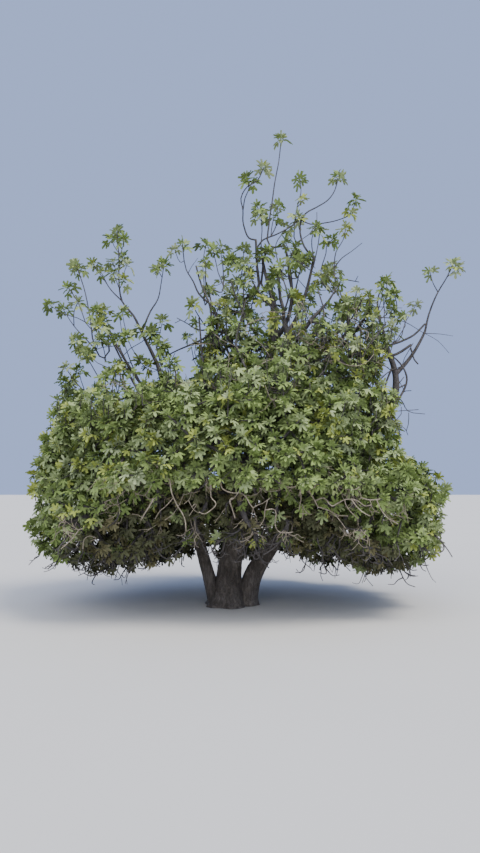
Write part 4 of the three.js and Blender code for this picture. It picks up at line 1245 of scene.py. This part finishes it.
# Meshes
def build_piece(name, places, faces, materials, face_slots=None, veins=None):
    """One object from arrays of corners: each array in faces holds faces with the same number of corners."""
    mesh = bpy.data.meshes.new(name)
    loops = np.concatenate([group.ravel() for group in faces]).astype(np.int32)
    sizes = np.concatenate([np.full(len(group), group.shape[1]) for group in faces])
    mesh.vertices.add(len(places))
    mesh.vertices.foreach_set("co", np.ascontiguousarray(places, np.float32).ravel())
    mesh.loops.add(len(loops))
    mesh.loops.foreach_set("vertex_index", loops)
    mesh.polygons.add(len(sizes))
    mesh.polygons.foreach_set("loop_start", (np.cumsum(sizes) - sizes).astype(np.int32))
    if face_slots is not None:
        mesh.polygons.foreach_set("material_index", np.asarray(face_slots, np.int32))
    mesh.polygons.foreach_set("use_smooth", np.ones(len(sizes), bool))
    if veins is not None:
        mesh.attributes.new("vein", "FLOAT", "POINT").data.foreach_set("value", np.asarray(veins, np.float32))
    for material in materials:
        mesh.materials.append(material)
    mesh.update(calc_edges=True)
    mesh.validate()
    piece = bpy.data.objects.new(name, mesh)
    bpy.context.scene.collection.objects.link(piece)
    return piece


def seat_piece(piece, slot, nodes):
    """Rides on the one body and stands for the nodes, which it hides. Its slot is not used."""
    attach(piece, "root")
    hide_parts(*nodes)


def tube_arrays(curves, radii, sides, steps):
    """Corners and faces of tapering tubes along curves, each closed by a blunt point."""
    shares = np.linspace(0, 1, steps + 1)
    places, ways = bezier(curves, shares), bezier_ways(curves, shares)
    across, aside = square_to(bend_axes(curves)[:, None], ways)
    thick = mix(radii[:, :1], radii[:, 1:], shares)
    rings = places[:, :, None] + spokes(across, aside, sides) * thick[:, :, None, None]
    points = places[:, -1] + ways[:, -1] * radii[:, 1:]
    corners = np.concatenate((rings.reshape(len(curves), -1, 3), points[:, None]), 1)
    return corners, tube_faces(sides, steps)


def tube_faces(sides, steps):
    """The faces of one tube: four-cornered ones between its rings, and three-cornered ones to its point."""
    around = np.arange(sides)
    after = (around + 1) % sides
    rows = np.arange(steps)[:, None] * sides
    quads = np.stack((rows + around, rows + after, rows + sides + after, rows + sides + around), -1)
    last = steps * sides
    tips = np.stack((last + around, last + after, np.full(sides, last + sides)), -1)
    return quads.reshape(-1, 4), tips


def repeat_faces(faces, copies, corners):
    """The faces of many like shapes whose corners follow each other."""
    return (faces[None] + corners * np.arange(copies)[:, None, None]).reshape(-1, faces.shape[1])


def twig_piece(name, twigs, material):
    curves = np.array([twig.curve for twig in twigs])
    radii = np.array([twig.radii for twig in twigs])
    corners, kinds = tube_arrays(curves, radii, TWIG_SIDES, TWIG_STEPS)
    faces = [repeat_faces(kind, len(twigs), corners.shape[1]) for kind in kinds]
    return build_piece(name, corners.reshape(-1, 3), faces, [material])


def bark_rings(limb, sides, spacing, relief):
    """Rings of corners along a limb, with lumps, folds and wrinkles in the bark."""
    count = max(FEWEST_RINGS, int(curve_length(limb.curve) * (limb.stretch[1] - limb.stretch[0]) / spacing))
    shares = np.linspace(0, 1, count + 1)
    places, ways = limb_places(limb, shares), limb_ways(limb, shares)
    around = spokes(*square_to(bend_axes(limb.curve[None])[0], ways), sides)
    radii = limb_radii(limb, shares[:, None], ring_turns(sides))
    plain = places[:, None] + around * radii[..., None]
    lumps = np.array([[bark_height(point, limb.radii[0]) for point in ring] for ring in plain])
    collar = 1 if limb.flare else 1 + COLLAR * np.exp(-shares * COLLAR_FADES)[:, None]
    return places[:, None] + around * (radii * collar * (1 + relief * lumps))[..., None]


def bark_height(point, size):
    """The bark's relief at a place: long folds and lumps, and fine wrinkles across the limb."""
    folds = noise.noise(point / (size, size, 1) * FOLD_WAVES)
    lumps = noise.noise(point * LUMP_WAVES)
    wrinkles = noise.noise(point * WRINKLE_WAVES)
    return folds + LUMP_HEIGHT * lumps + WRINKLE_HEIGHT * wrinkles


def bark_piece(name, limbs, sides, spacing, relief, material):
    """The bark of limbs, closed at their ends and cut flat at the ground."""
    places, faces, flats = [], [], []
    start = 0
    for limb in limbs:
        rings = bark_rings(limb, sides, spacing, relief)
        if limb.flare:
            rings[..., 2] = np.maximum(rings[..., 2], 0)
        quads, _ = tube_faces(sides, len(rings) - 1)
        places.append(rings.reshape(-1, 3))
        faces.append(quads + start)
        ends = (np.arange(sides)[::-1], np.arange(sides) + (len(rings) - 1) * sides)
        flats += [end + start for end in ends]
        start += rings.shape[0] * sides
    return build_piece(name, np.concatenate(places), [np.concatenate(faces), np.array(flats)], [material])


# Leaves
def leaf_frames(twigs, rng):
    """For each leaf of a tuft: its root, the ways of its stalk and blade, the side it faces and its age."""
    counts = np.array([twig.leaves for twig in twigs])
    which = np.repeat(np.arange(len(twigs)), counts)
    order = np.arange(len(which)) - np.repeat(np.cumsum(counts) - counts, counts)
    age = order / np.maximum(counts[which] - 1, 1)
    curves = np.array([twig.curve for twig in twigs])
    lengths = np.linalg.norm(curves[:, 3] - curves[:, 0], axis=1)[which]
    shares = np.clip(1 - LEAF_APART * order / lengths, LOWEST_LEAF, 1)[:, None]
    root, ways = bezier(curves[which], shares)[:, 0], bezier_ways(curves[which], shares)[:, 0]
    across, aside = square_to(bend_axes(curves)[which], ways)
    turns = (rng.uniform(0, 2 * math.pi, len(twigs))[which] + order * GOLDEN_ANGLE)[:, None]
    spread = (mix(*LEAF_SPREADS, age) + rng.normal(0, SPREAD_VARIES, len(which)))[:, None]
    outward = across * np.cos(turns) + aside * np.sin(turns)
    stalk = unit(ways * np.cos(spread) + outward * np.sin(spread) + UP * STALK_RISE)
    droop = (mix(*LEAF_DROOPS, age) + rng.normal(0, DROOP_VARIES, len(which)))[:, None]
    along = unit(stalk - UP * droop)
    lit = UP * FACE_UP + unit(root - HEART) * FACE_OUT + rng.normal(0, FACE_VARIES, (len(which), 3))
    lit = unit(lit)
    face = unit(lit - along * (lit * along).sum(1, keepdims=True))
    right = np.cross(along, face)
    return SimpleNamespace(which=which, age=age, root=root, stalk=stalk, along=along, face=face, right=right)


def leaf_edges(sizes, rng):
    """The edges of blades of different sizes, each seen from the end of its stalk."""
    outline = np.array(BLADE)
    reach = outline[:, 1] * rng.normal(1, REACH_VARIES, (len(sizes), len(outline)))
    reach[:, NOTCHES] *= rng.uniform(*NOTCH_DEPTHS, (len(sizes), 1))
    angles = np.radians(outline[:, 0]) * rng.uniform(*BLADE_WIDTHS, (len(sizes), 1))
    x = np.sin(angles) * reach
    y = np.cos(angles) * reach
    fold = rng.uniform(*LEAF_BENDS, (len(sizes), 1))
    curl = rng.uniform(*LEAF_BENDS, (len(sizes), 1))
    z = outline[:, 2] + fold * np.abs(x) - curl * reach**2
    return np.stack((x, y, z), -1) * sizes[:, None, None]


def leaf_tones(tones, rng):
    """The tones of leaves from those of their tufts: some greens are a step paler or deeper."""
    strays = (rng.random(len(tones)) < TONE_STRAYS) & (tones < len(GREENS))
    return np.where(strays, np.clip(tones + rng.choice((-1, 1), len(tones)), 0, len(GREENS) - 1), tones)


def leaf_piece(name, twigs, length, materials, rng):
    """The leaves of twigs: each a fan of faces round the end of its stalk, and the stalk itself."""
    leaves = leaf_frames(twigs, rng)
    total = len(leaves.which)
    sizes = length * mix(*LEAF_SIZES, rng.random(total)) * mix(YOUNG_SIZE, 1, leaves.age)
    edges = leaf_edges(sizes, rng)
    stalks = sizes * mix(*STALK_SHARE, leaves.age) * rng.uniform(*STALK_VARIES, total)
    base = leaves.root + leaves.stalk * stalks[:, None]
    rim = base[:, None] + edges @ np.stack((leaves.right, leaves.along, leaves.face), 1)
    ring = spokes(leaves.right, np.cross(leaves.stalk, leaves.right), STALK_SIDES)
    foot = leaves.root[:, None] + ring * STALK_RADII[0]
    head = base[:, None] + ring * STALK_RADII[1]
    corners = np.concatenate((base[:, None], rim, foot, head), 1)
    past_rim = 1 + len(BLADE)
    fan = np.array([(0, i + 1, i) for i in range(1, len(BLADE))])
    kinds = (fan, tube_faces(STALK_SIDES, 1)[0] + past_rim)
    faces = [repeat_faces(kind, total, corners.shape[1]) for kind in kinds]
    tones = leaf_tones(np.array([twig.tone for twig in twigs])[leaves.which], rng)
    slots = np.concatenate([np.repeat(tones, len(kind)) for kind in kinds])
    veins = np.ones(corners.shape[1])
    veins[1:past_rim] = np.isin(np.arange(len(BLADE)), LOBE_TIPS)
    return build_piece(name, corners.reshape(-1, 3), faces, materials, slots, np.tile(veins, total))


# Materials
class Field:
    """A number that varies over a surface, on which Python's arithmetic adds Math nodes."""

    def __init__(self, shader, socket):
        self.shader = shader
        self.socket = socket

    def maths(self, operation, first, second):
        made = self.shader.node("ShaderNodeMath", {"operation": operation}, {0: first, 1: second})
        return Field(self.shader, made.outputs[0])

    def __add__(self, other):
        return self.maths("ADD", self, other)

    def __mul__(self, other):
        return self.maths("MULTIPLY", self, other)

    def __sub__(self, other):
        return self.maths("SUBTRACT", self, other)

    def __rsub__(self, other):
        return self.maths("SUBTRACT", other, self)

    __radd__ = __add__
    __rmul__ = __mul__


class Shader:
    """The node tree of a material or a world."""

    def __init__(self, owner):
        owner.use_nodes = True
        self.nodes = owner.node_tree.nodes
        self.links = owner.node_tree.links
        self.nodes.clear()

    def node(self, kind, settings=None, sockets=None):
        """Adds a node, sets it up, and gives its sockets values or links."""
        made = self.nodes.new(kind)
        for name, value in (settings or {}).items():
            setattr(made, name, value)
        for name, value in (sockets or {}).items():
            self.give(made.inputs[name], value)
        return made

    def give(self, socket, value):
        """Gives a socket a link or a value, and a colour the alpha that it leaves out."""
        value = value.socket if isinstance(value, Field) else value
        if isinstance(value, bpy.types.NodeSocket):
            self.links.new(value, socket)
        elif isinstance(value, tuple) and len(value) < len(socket.default_value):
            socket.default_value = (*value, 1)
        else:
            socket.default_value = value

    def places(self, stretch=(1, 1, 1)):
        """Places on the object, in metres, drawn out by a factor along each axis."""
        coordinates = self.node("ShaderNodeTexCoord").outputs["Object"]
        scaled = self.node("ShaderNodeVectorMath", {"operation": "MULTIPLY"}, {0: coordinates, 1: stretch})
        return scaled.outputs[0]

    def marks(self, kind, finer=1):
        """Marks of a kind, as a field of noise or, where it has a span, from none to all of it."""
        sockets = {"Vector": self.places(kind.stretch), "Scale": kind.waves * finer, "Detail": kind.detail,
                   "Roughness": kind.roughness}
        field = Field(self, self.node("ShaderNodeTexNoise", None, sockets).outputs["Fac"])
        return self.between(field, *kind.span) if kind.span else field

    def height(self):
        parts = self.node("ShaderNodeSeparateXYZ", None, {0: self.places()})
        return Field(self, parts.outputs["Z"])

    def blend(self, share, first, second):
        made = self.node("ShaderNodeMix", {"data_type": "RGBA"}, {"Factor": share, 6: first, 7: second})
        return made.outputs[2]

    def between(self, field, low, high):
        """A field spread over 0 to 1 between two of its values."""
        sockets = {"Value": field, "From Min": low, "From Max": high}
        return Field(self, self.node("ShaderNodeMapRange", None, sockets).outputs["Result"])

    def bump(self, height, distance, strength):
        sockets = {"Height": height, "Distance": distance, "Strength": strength}
        return self.node("ShaderNodeBump", None, sockets).outputs["Normal"]

    def surface(self, **sockets):
        """The surface itself, from the names of its sockets with underscores for spaces."""
        named = {name.replace("_", " "): value for name, value in sockets.items()}
        made = self.node("ShaderNodeBsdfPrincipled", None, named)
        output = self.node("ShaderNodeOutputMaterial")
        self.links.new(made.outputs[0], output.inputs[0])


def tint(colour, factor, lift=0):
    """A lighter or darker colour."""
    return tuple(min(1, factor * part + lift) for part in colour)


def bark_material(name, dark, light, finish, aloft=None):
    """Smooth grey bark with dark stains, pale patches, cracks and wrinkles, of other colours high up."""
    finer, depth = finish
    material = bpy.data.materials.new(name)
    shader = Shader(material)
    stains = shader.marks(STAINS, finer)
    patches = shader.marks(PALE_PATCHES, finer)
    wrinkles = shader.marks(WRINKLES, finer)
    cracks = shader.marks(CRACKS, finer)
    colour = shader.blend(stains, tuple(dark), tuple(light))
    colour = shader.blend(patches * PATCH_SHOWS, colour, tint(light, PATCH_TINT))
    colour = shader.blend((1 - cracks) * CRACK_SHOWS, colour, tint(dark, CRACK_TINT))
    if aloft:
        high = shader.between(shader.height(), *ALOFT_FROM)
        colour = shader.blend(high, colour, shader.blend(stains, *aloft))
    relief = wrinkles * WRINKLE_RELIEF + cracks * CRACK_RELIEF
    roughness = BARK_ROUGHNESS[0] + BARK_ROUGHNESS[1] * wrinkles
    shader.surface(Base_Color=colour, Roughness=roughness, Normal=shader.bump(relief, depth, BARK_BUMP))
    return material


def leaf_material(name, colour):
    """A rough matt leaf of slightly uneven colour, with pale veins and fine puckering between them."""
    material = bpy.data.materials.new(name)
    shader = Shader(material)
    blotches = shader.marks(LEAF_BLOTCHES)
    attribute = shader.node("ShaderNodeAttribute", {"attribute_name": "vein"})
    veins = shader.between(Field(shader, attribute.outputs["Fac"]), *VEIN_FROM)
    blade = shader.blend(blotches, tint(colour, *DARKER_TINT), tint(colour, *PALER_TINT))
    veined = shader.blend(veins * VEIN_SHOWS, blade, tint(colour, *VEIN_TINT))
    roughness = LEAF_ROUGHNESS[0] + LEAF_ROUGHNESS[1] * blotches
    puckers = shader.marks(PUCKERS) - veins * VEIN_SMOOTHS
    shader.surface(Base_Color=veined, Roughness=roughness, Specular_IOR_Level=LEAF_GLOSS,
                   Normal=shader.bump(puckers, PUCKER_DEPTH, PUCKER_BUMP))
    return material


def floor_material(colour):
    material = bpy.data.materials.new("studio_floor")
    shader = Shader(material)
    colour = shader.blend(shader.marks(FLOOR_CLOUDS), tint(colour, FLOOR_TINT), tuple(colour))
    shader.surface(Base_Color=colour, Roughness=FLOOR_ROUGHNESS)
    return material


# What a user would change
def colour_property(name, description, default):
    return bpy.props.FloatVectorProperty(name=name, description=description, default=default,
                                         subtype="COLOR", size=3, min=0, max=1)


def length_property(name, description, default):
    return bpy.props.FloatProperty(name=name, description=description, default=default, unit="LENGTH")


def amount_property(name, description, default):
    return bpy.props.FloatProperty(name=name, description=description, default=default)


def count_property(name, description, default):
    return bpy.props.IntProperty(name=name, description=description, default=default)


class FigBark(bpy.types.PropertyGroup):
    ring_spacing: length_property("Ring spacing", "Distance between rings of corners along a stem", 0.03)
    relief: amount_property("Relief", "Height of the bark's lumps, as a share of the limb's radius", 0.085)
    stem_dark: colour_property("Stem stains", "Colour of the stems' darker bark", (0.072, 0.058, 0.045))
    stem_light: colour_property("Stem bark", "Colour of the stems' lighter bark", (0.175, 0.15, 0.125))
    bough_dark: colour_property("Bough stains", "Colour of the boughs' darker bark", (0.042, 0.037, 0.036))
    bough_light: colour_property("Bough bark", "Colour of the boughs' lighter bark", (0.115, 0.102, 0.097))
    twig_dark: colour_property("Twig shade", "Darker colour of the living twigs", (0.042, 0.037, 0.034))
    twig_light: colour_property("Twig bark", "Lighter colour of the living twigs", (0.11, 0.097, 0.09))
    bare_dark: colour_property("Bare twig shade", "Darker colour of grey bare twigs", (0.045, 0.04, 0.037))
    bare_light: colour_property("Bare twig", "Lighter colour of grey bare twigs", (0.115, 0.1, 0.093))
    dry_dark: colour_property("Dead twig shade", "Darker colour of the dead twigs", (0.17, 0.138, 0.1))
    dry_light: colour_property("Dead twig", "Lighter colour of the dead twigs", (0.38, 0.325, 0.24))


class FigLeaves(bpy.types.PropertyGroup):
    blade_length: length_property("Blade length", "Length of a full-grown leaf's blade", 0.088)
    tuft_spacing: length_property("Tuft spacing", "Least distance between two tufts of leaves", 0.142)
    tuft_leaves: bpy.props.IntVectorProperty(
        name="Leaves in a tuft", description="Fewest and most leaves in a tuft", default=(11, 17), size=2)
    skin_depth: length_property("Skin depth", "How far in from the crown's skin most leaves grow", 0.5)
    skin_inset: length_property("Skin inset", "How far under the crown's skin the outermost twigs end", 0.12)
    open_above: length_property("Open above", "Height above which the crown grows more open", 2.95)
    open_over: length_property("Open over", "Height over which it does so", 1.15)
    openness: amount_property("Openness", "How much further apart tufts stand at the top", 1.5)
    hanging_twigs: count_property("Hanging twigs", "Bare twigs that hang from each part of the skirt", 40)
    pale_twigs: count_property("Pale twigs", "Dry twigs under each part of the skirt's front", 40)
    tangled_twigs: count_property("Tangled twigs", "Bare twigs in each part of the shoulder and dome", 24)
    risers: count_property("Rising shoots", "Short shoots that rise from the top of each dense part", 16)
    deep: colour_property("Deep green", "Colour of shaded, older leaves", (0.138, 0.185, 0.055))
    mid: colour_property("Mid green", "Colour of most leaves", (0.19, 0.26, 0.07))
    sage: colour_property("Sage", "Colour of dusty, greyer leaves", (0.25, 0.31, 0.13))
    yellow: colour_property("Yellow-green", "Colour of the younger leaves", (0.3, 0.35, 0.072))
    pale: colour_property("Pale green", "Colour of the palest leaves", (0.32, 0.375, 0.195))
    dry: colour_property("Dry brown", "Colour of the few dead leaves", (0.34, 0.24, 0.13))
    # The shade and olive tones are painted shade: darker, browner leaves put under the skirt's front, where
    # the crown's shade falls
    shade: colour_property("Shade green", "Colour of leaves under the skirt's front", (0.078, 0.082, 0.035))
    olive: colour_property("Olive brown", "Colour of the withered leaves there", (0.128, 0.118, 0.052))


class FigStage(bpy.types.PropertyGroup):
    floor_colour: colour_property("Floor", "Colour of the studio floor", (0.66, 0.64, 0.6))
    sky_colour: colour_property("Backdrop", "Colour of the light from all round", (0.412, 0.535, 0.9))
    sky_strength: amount_property("Backdrop light", "Strength of the light from all round", 1.0)
    sun_strength: amount_property("Key light", "Strength of the light from above", 2.9)
    fill_strength: amount_property("Fill light", "Strength of the soft light from the front", 2.5)
    sun_softness: bpy.props.FloatProperty(
        name="Key softness", description="Angle that the key light spans", default=math.radians(22),
        subtype="ANGLE")


def leafing_values(settings):
    """The settings that growth depends on, as a key to keep it by."""
    names = ("tuft_spacing", "skin_depth", "skin_inset", "open_above", "open_over", "openness",
             "hanging_twigs", "pale_twigs", "tangled_twigs", "risers")
    values = [(name, getattr(settings, name)) for name in names]
    return (*values, ("tuft_leaves", tuple(settings.tuft_leaves)))


# The stage
def make_floor(colour):
    half = FLOOR_HALF
    corners = np.array(((-half, -half, 0), (half, -half, 0), (half, half, 0), (-half, half, 0)), float)
    return build_piece("studio_floor", corners, [np.array(((0, 1, 2, 3),))], [floor_material(tuple(colour))])


def make_sky(colour, strength):
    world = bpy.data.worlds.new("studio")
    shader = Shader(world)
    light = shader.node("ShaderNodeBackground", None, {"Color": (*colour, 1), "Strength": strength})
    output = shader.node("ShaderNodeOutputWorld")
    shader.links.new(light.outputs[0], output.inputs[0])
    return world


def make_light(name, strength, softness, colour, turn):
    light = bpy.data.lights.new(name, "SUN")
    light.energy = strength
    light.angle = softness
    light.color = colour
    lamp = bpy.data.objects.new(name, light)
    lamp.rotation_euler = [math.radians(angle) for angle in turn]
    bpy.context.scene.collection.objects.link(lamp)


def make_camera():
    view = bpy.data.cameras.new("photo_camera")
    view.sensor_width = SENSOR
    view.lens = SENSOR * FOCAL / PHOTO_SIZE[1]
    view.clip_end = CAMERA_REACH
    camera = bpy.data.objects.new("photo_camera", view)
    camera.location = CAMERA_AT
    camera.rotation_euler = (math.pi / 2 + CAMERA_PITCH, 0, 0)
    bpy.context.scene.collection.objects.link(camera)
    return camera


# Operators
class FIG_OT_stems(bpy.types.Operator):
    """Make the bark of the trunk and stems, with its relief"""

    bl_idname = "fig_tree.stems"
    bl_label = "Make Stems"

    def execute(self, context):
        bark = context.scene.fig_bark
        limbs = [make_stem(spec) for spec in STEMS]
        aloft = (tuple(bark.bough_dark), tuple(bark.bough_light))
        material = bark_material("stem_bark", bark.stem_dark, bark.stem_light, STEM_FINISH, aloft)
        piece = bark_piece("stems", limbs, STEM_SIDES, bark.ring_spacing, bark.relief, material)
        seat_piece(piece, "bark", [limb.name for limb in limbs])
        return {"FINISHED"}


class FIG_OT_boughs(bpy.types.Operator):
    """Make the bark of the boughs, with its relief"""

    bl_idname = "fig_tree.boughs"
    bl_label = "Make Boughs"

    def execute(self, context):
        bark = context.scene.fig_bark
        limbs, _ = grown_tree(leafing_values(context.scene.fig_leaves))
        boughs = [limb for limb in limbs if limb.name.startswith("bough_")]
        missing = {node for node in NODES if node.startswith("bough_")} ^ {limb.name for limb in boughs}
        if missing:
            raise RuntimeError(f"the boughs and their nodes differ: {sorted(missing)}")
        material = bark_material("bough_bark", bark.bough_dark, bark.bough_light, BOUGH_FINISH)
        piece = bark_piece("boughs", boughs, BOUGH_SIDES, bark.ring_spacing, bark.relief, material)
        seat_piece(piece, "bark", [limb.name for limb in boughs])
        return {"FINISHED"}


class FIG_OT_twigs(bpy.types.Operator):
    """Make the twigs of each region of the crown, living and dead"""

    bl_idname = "fig_tree.twigs"
    bl_label = "Make Twigs"

    def execute(self, context):
        bark = context.scene.fig_bark
        living = bark_material("twig_bark", bark.twig_dark, bark.twig_light, TWIG_FINISH)
        dead = bark_material("dead_twig", bark.dry_dark, bark.dry_light, TWIG_FINISH)
        bare = bark_material("bare_twig", bark.bare_dark, bark.bare_light, TWIG_FINISH)
        pieces = (("twigs", ("stem", "twig"), living, "bark"), ("dry_twigs", ("dry",), dead, "bare_twigs"),
                  ("bare_twigs", ("bare",), bare, "bare_twigs"))
        _, regions = grown_tree(leafing_values(context.scene.fig_leaves))
        for region, grown in regions.items():
            for name, kinds, material, slot in pieces:
                twigs = [twig for twig in grown if twig.kind in kinds]
                if twigs:
                    piece = twig_piece(f"{name}_{region}", twigs, material)
                    seat_piece(piece, slot, REGIONS[region])
        return {"FINISHED"}


class FIG_OT_leaves(bpy.types.Operator):
    """Make the leaves of each region of the crown"""

    bl_idname = "fig_tree.leaves"
    bl_label = "Make Leaves"

    def execute(self, context):
        settings = context.scene.fig_leaves
        materials = [leaf_material(f"leaf_{tone}", tuple(getattr(settings, tone))) for tone in TONES]
        _, regions = grown_tree(leafing_values(settings))
        for number, (region, grown) in enumerate(regions.items()):
            twigs = [twig for twig in grown if twig.leaves]
            if twigs:
                rng = np.random.default_rng(LEAF_SEED + number)
                length = settings.blade_length * (SHOOT_LEAVES if region == "shoots" else 1)
                piece = leaf_piece(f"leaves_{region}", twigs, length, materials, rng)
                seat_piece(piece, "foliage", REGIONS[region])
        return {"FINISHED"}


class FIG_OT_stage(bpy.types.Operator):
    """Make the floor, the lights and the photograph's camera"""

    bl_idname = "fig_tree.stage"
    bl_label = "Make Stage"

    def execute(self, context):
        scene = context.scene
        stage = scene.fig_stage
        floor = make_floor(stage.floor_colour)
        floor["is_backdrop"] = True
        scene.world = make_sky(stage.sky_colour, stage.sky_strength)
        make_light("key", stage.sun_strength, stage.sun_softness, KEY_COLOUR, KEY_TURN)
        make_light("fill", stage.fill_strength, math.radians(FILL_SOFTNESS), FILL_COLOUR, FILL_TURN)
        scene.camera = make_camera()
        return {"FINISHED"}


class FIG_PT_panel(bpy.types.Panel):
    """The fig tree's settings and steps"""

    bl_idname = "FIG_PT_panel"
    bl_label = "Fig Tree"
    bl_space_type = "VIEW_3D"
    bl_region_type = "UI"
    bl_category = "Fig Tree"

    def draw(self, context):
        for settings in (context.scene.fig_bark, context.scene.fig_leaves, context.scene.fig_stage):
            box = self.layout.box()
            for name in settings.__annotations__:
                box.prop(settings, name)
        for operator in OPERATORS:
            self.layout.operator(operator.bl_idname)


OPERATORS = (FIG_OT_stems, FIG_OT_boughs, FIG_OT_twigs, FIG_OT_leaves, FIG_OT_stage)
SETTINGS = {"fig_bark": FigBark, "fig_leaves": FigLeaves, "fig_stage": FigStage}


def register():
    for made in (*SETTINGS.values(), *OPERATORS, FIG_PT_panel):
        bpy.utils.register_class(made)
    for name, kind in SETTINGS.items():
        setattr(bpy.types.Scene, name, bpy.props.PointerProperty(type=kind))


def unregister():
    for name in SETTINGS:
        delattr(bpy.types.Scene, name)
    for made in (FIG_PT_panel, *OPERATORS, *SETTINGS.values()):
        bpy.utils.unregister_class(made)


def main():
    register()
    bpy.ops.fig_tree.stage()
    bpy.ops.fig_tree.stems()
    bpy.ops.fig_tree.boughs()
    bpy.ops.fig_tree.twigs()
    bpy.ops.fig_tree.leaves()
    boxes = {"cad": CAD_BOX, "visual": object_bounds()}
    plain = {name: [[float(part) for part in corner] for corner in box] for name, box in boxes.items()}


if __name__ == "__main__":
    main()
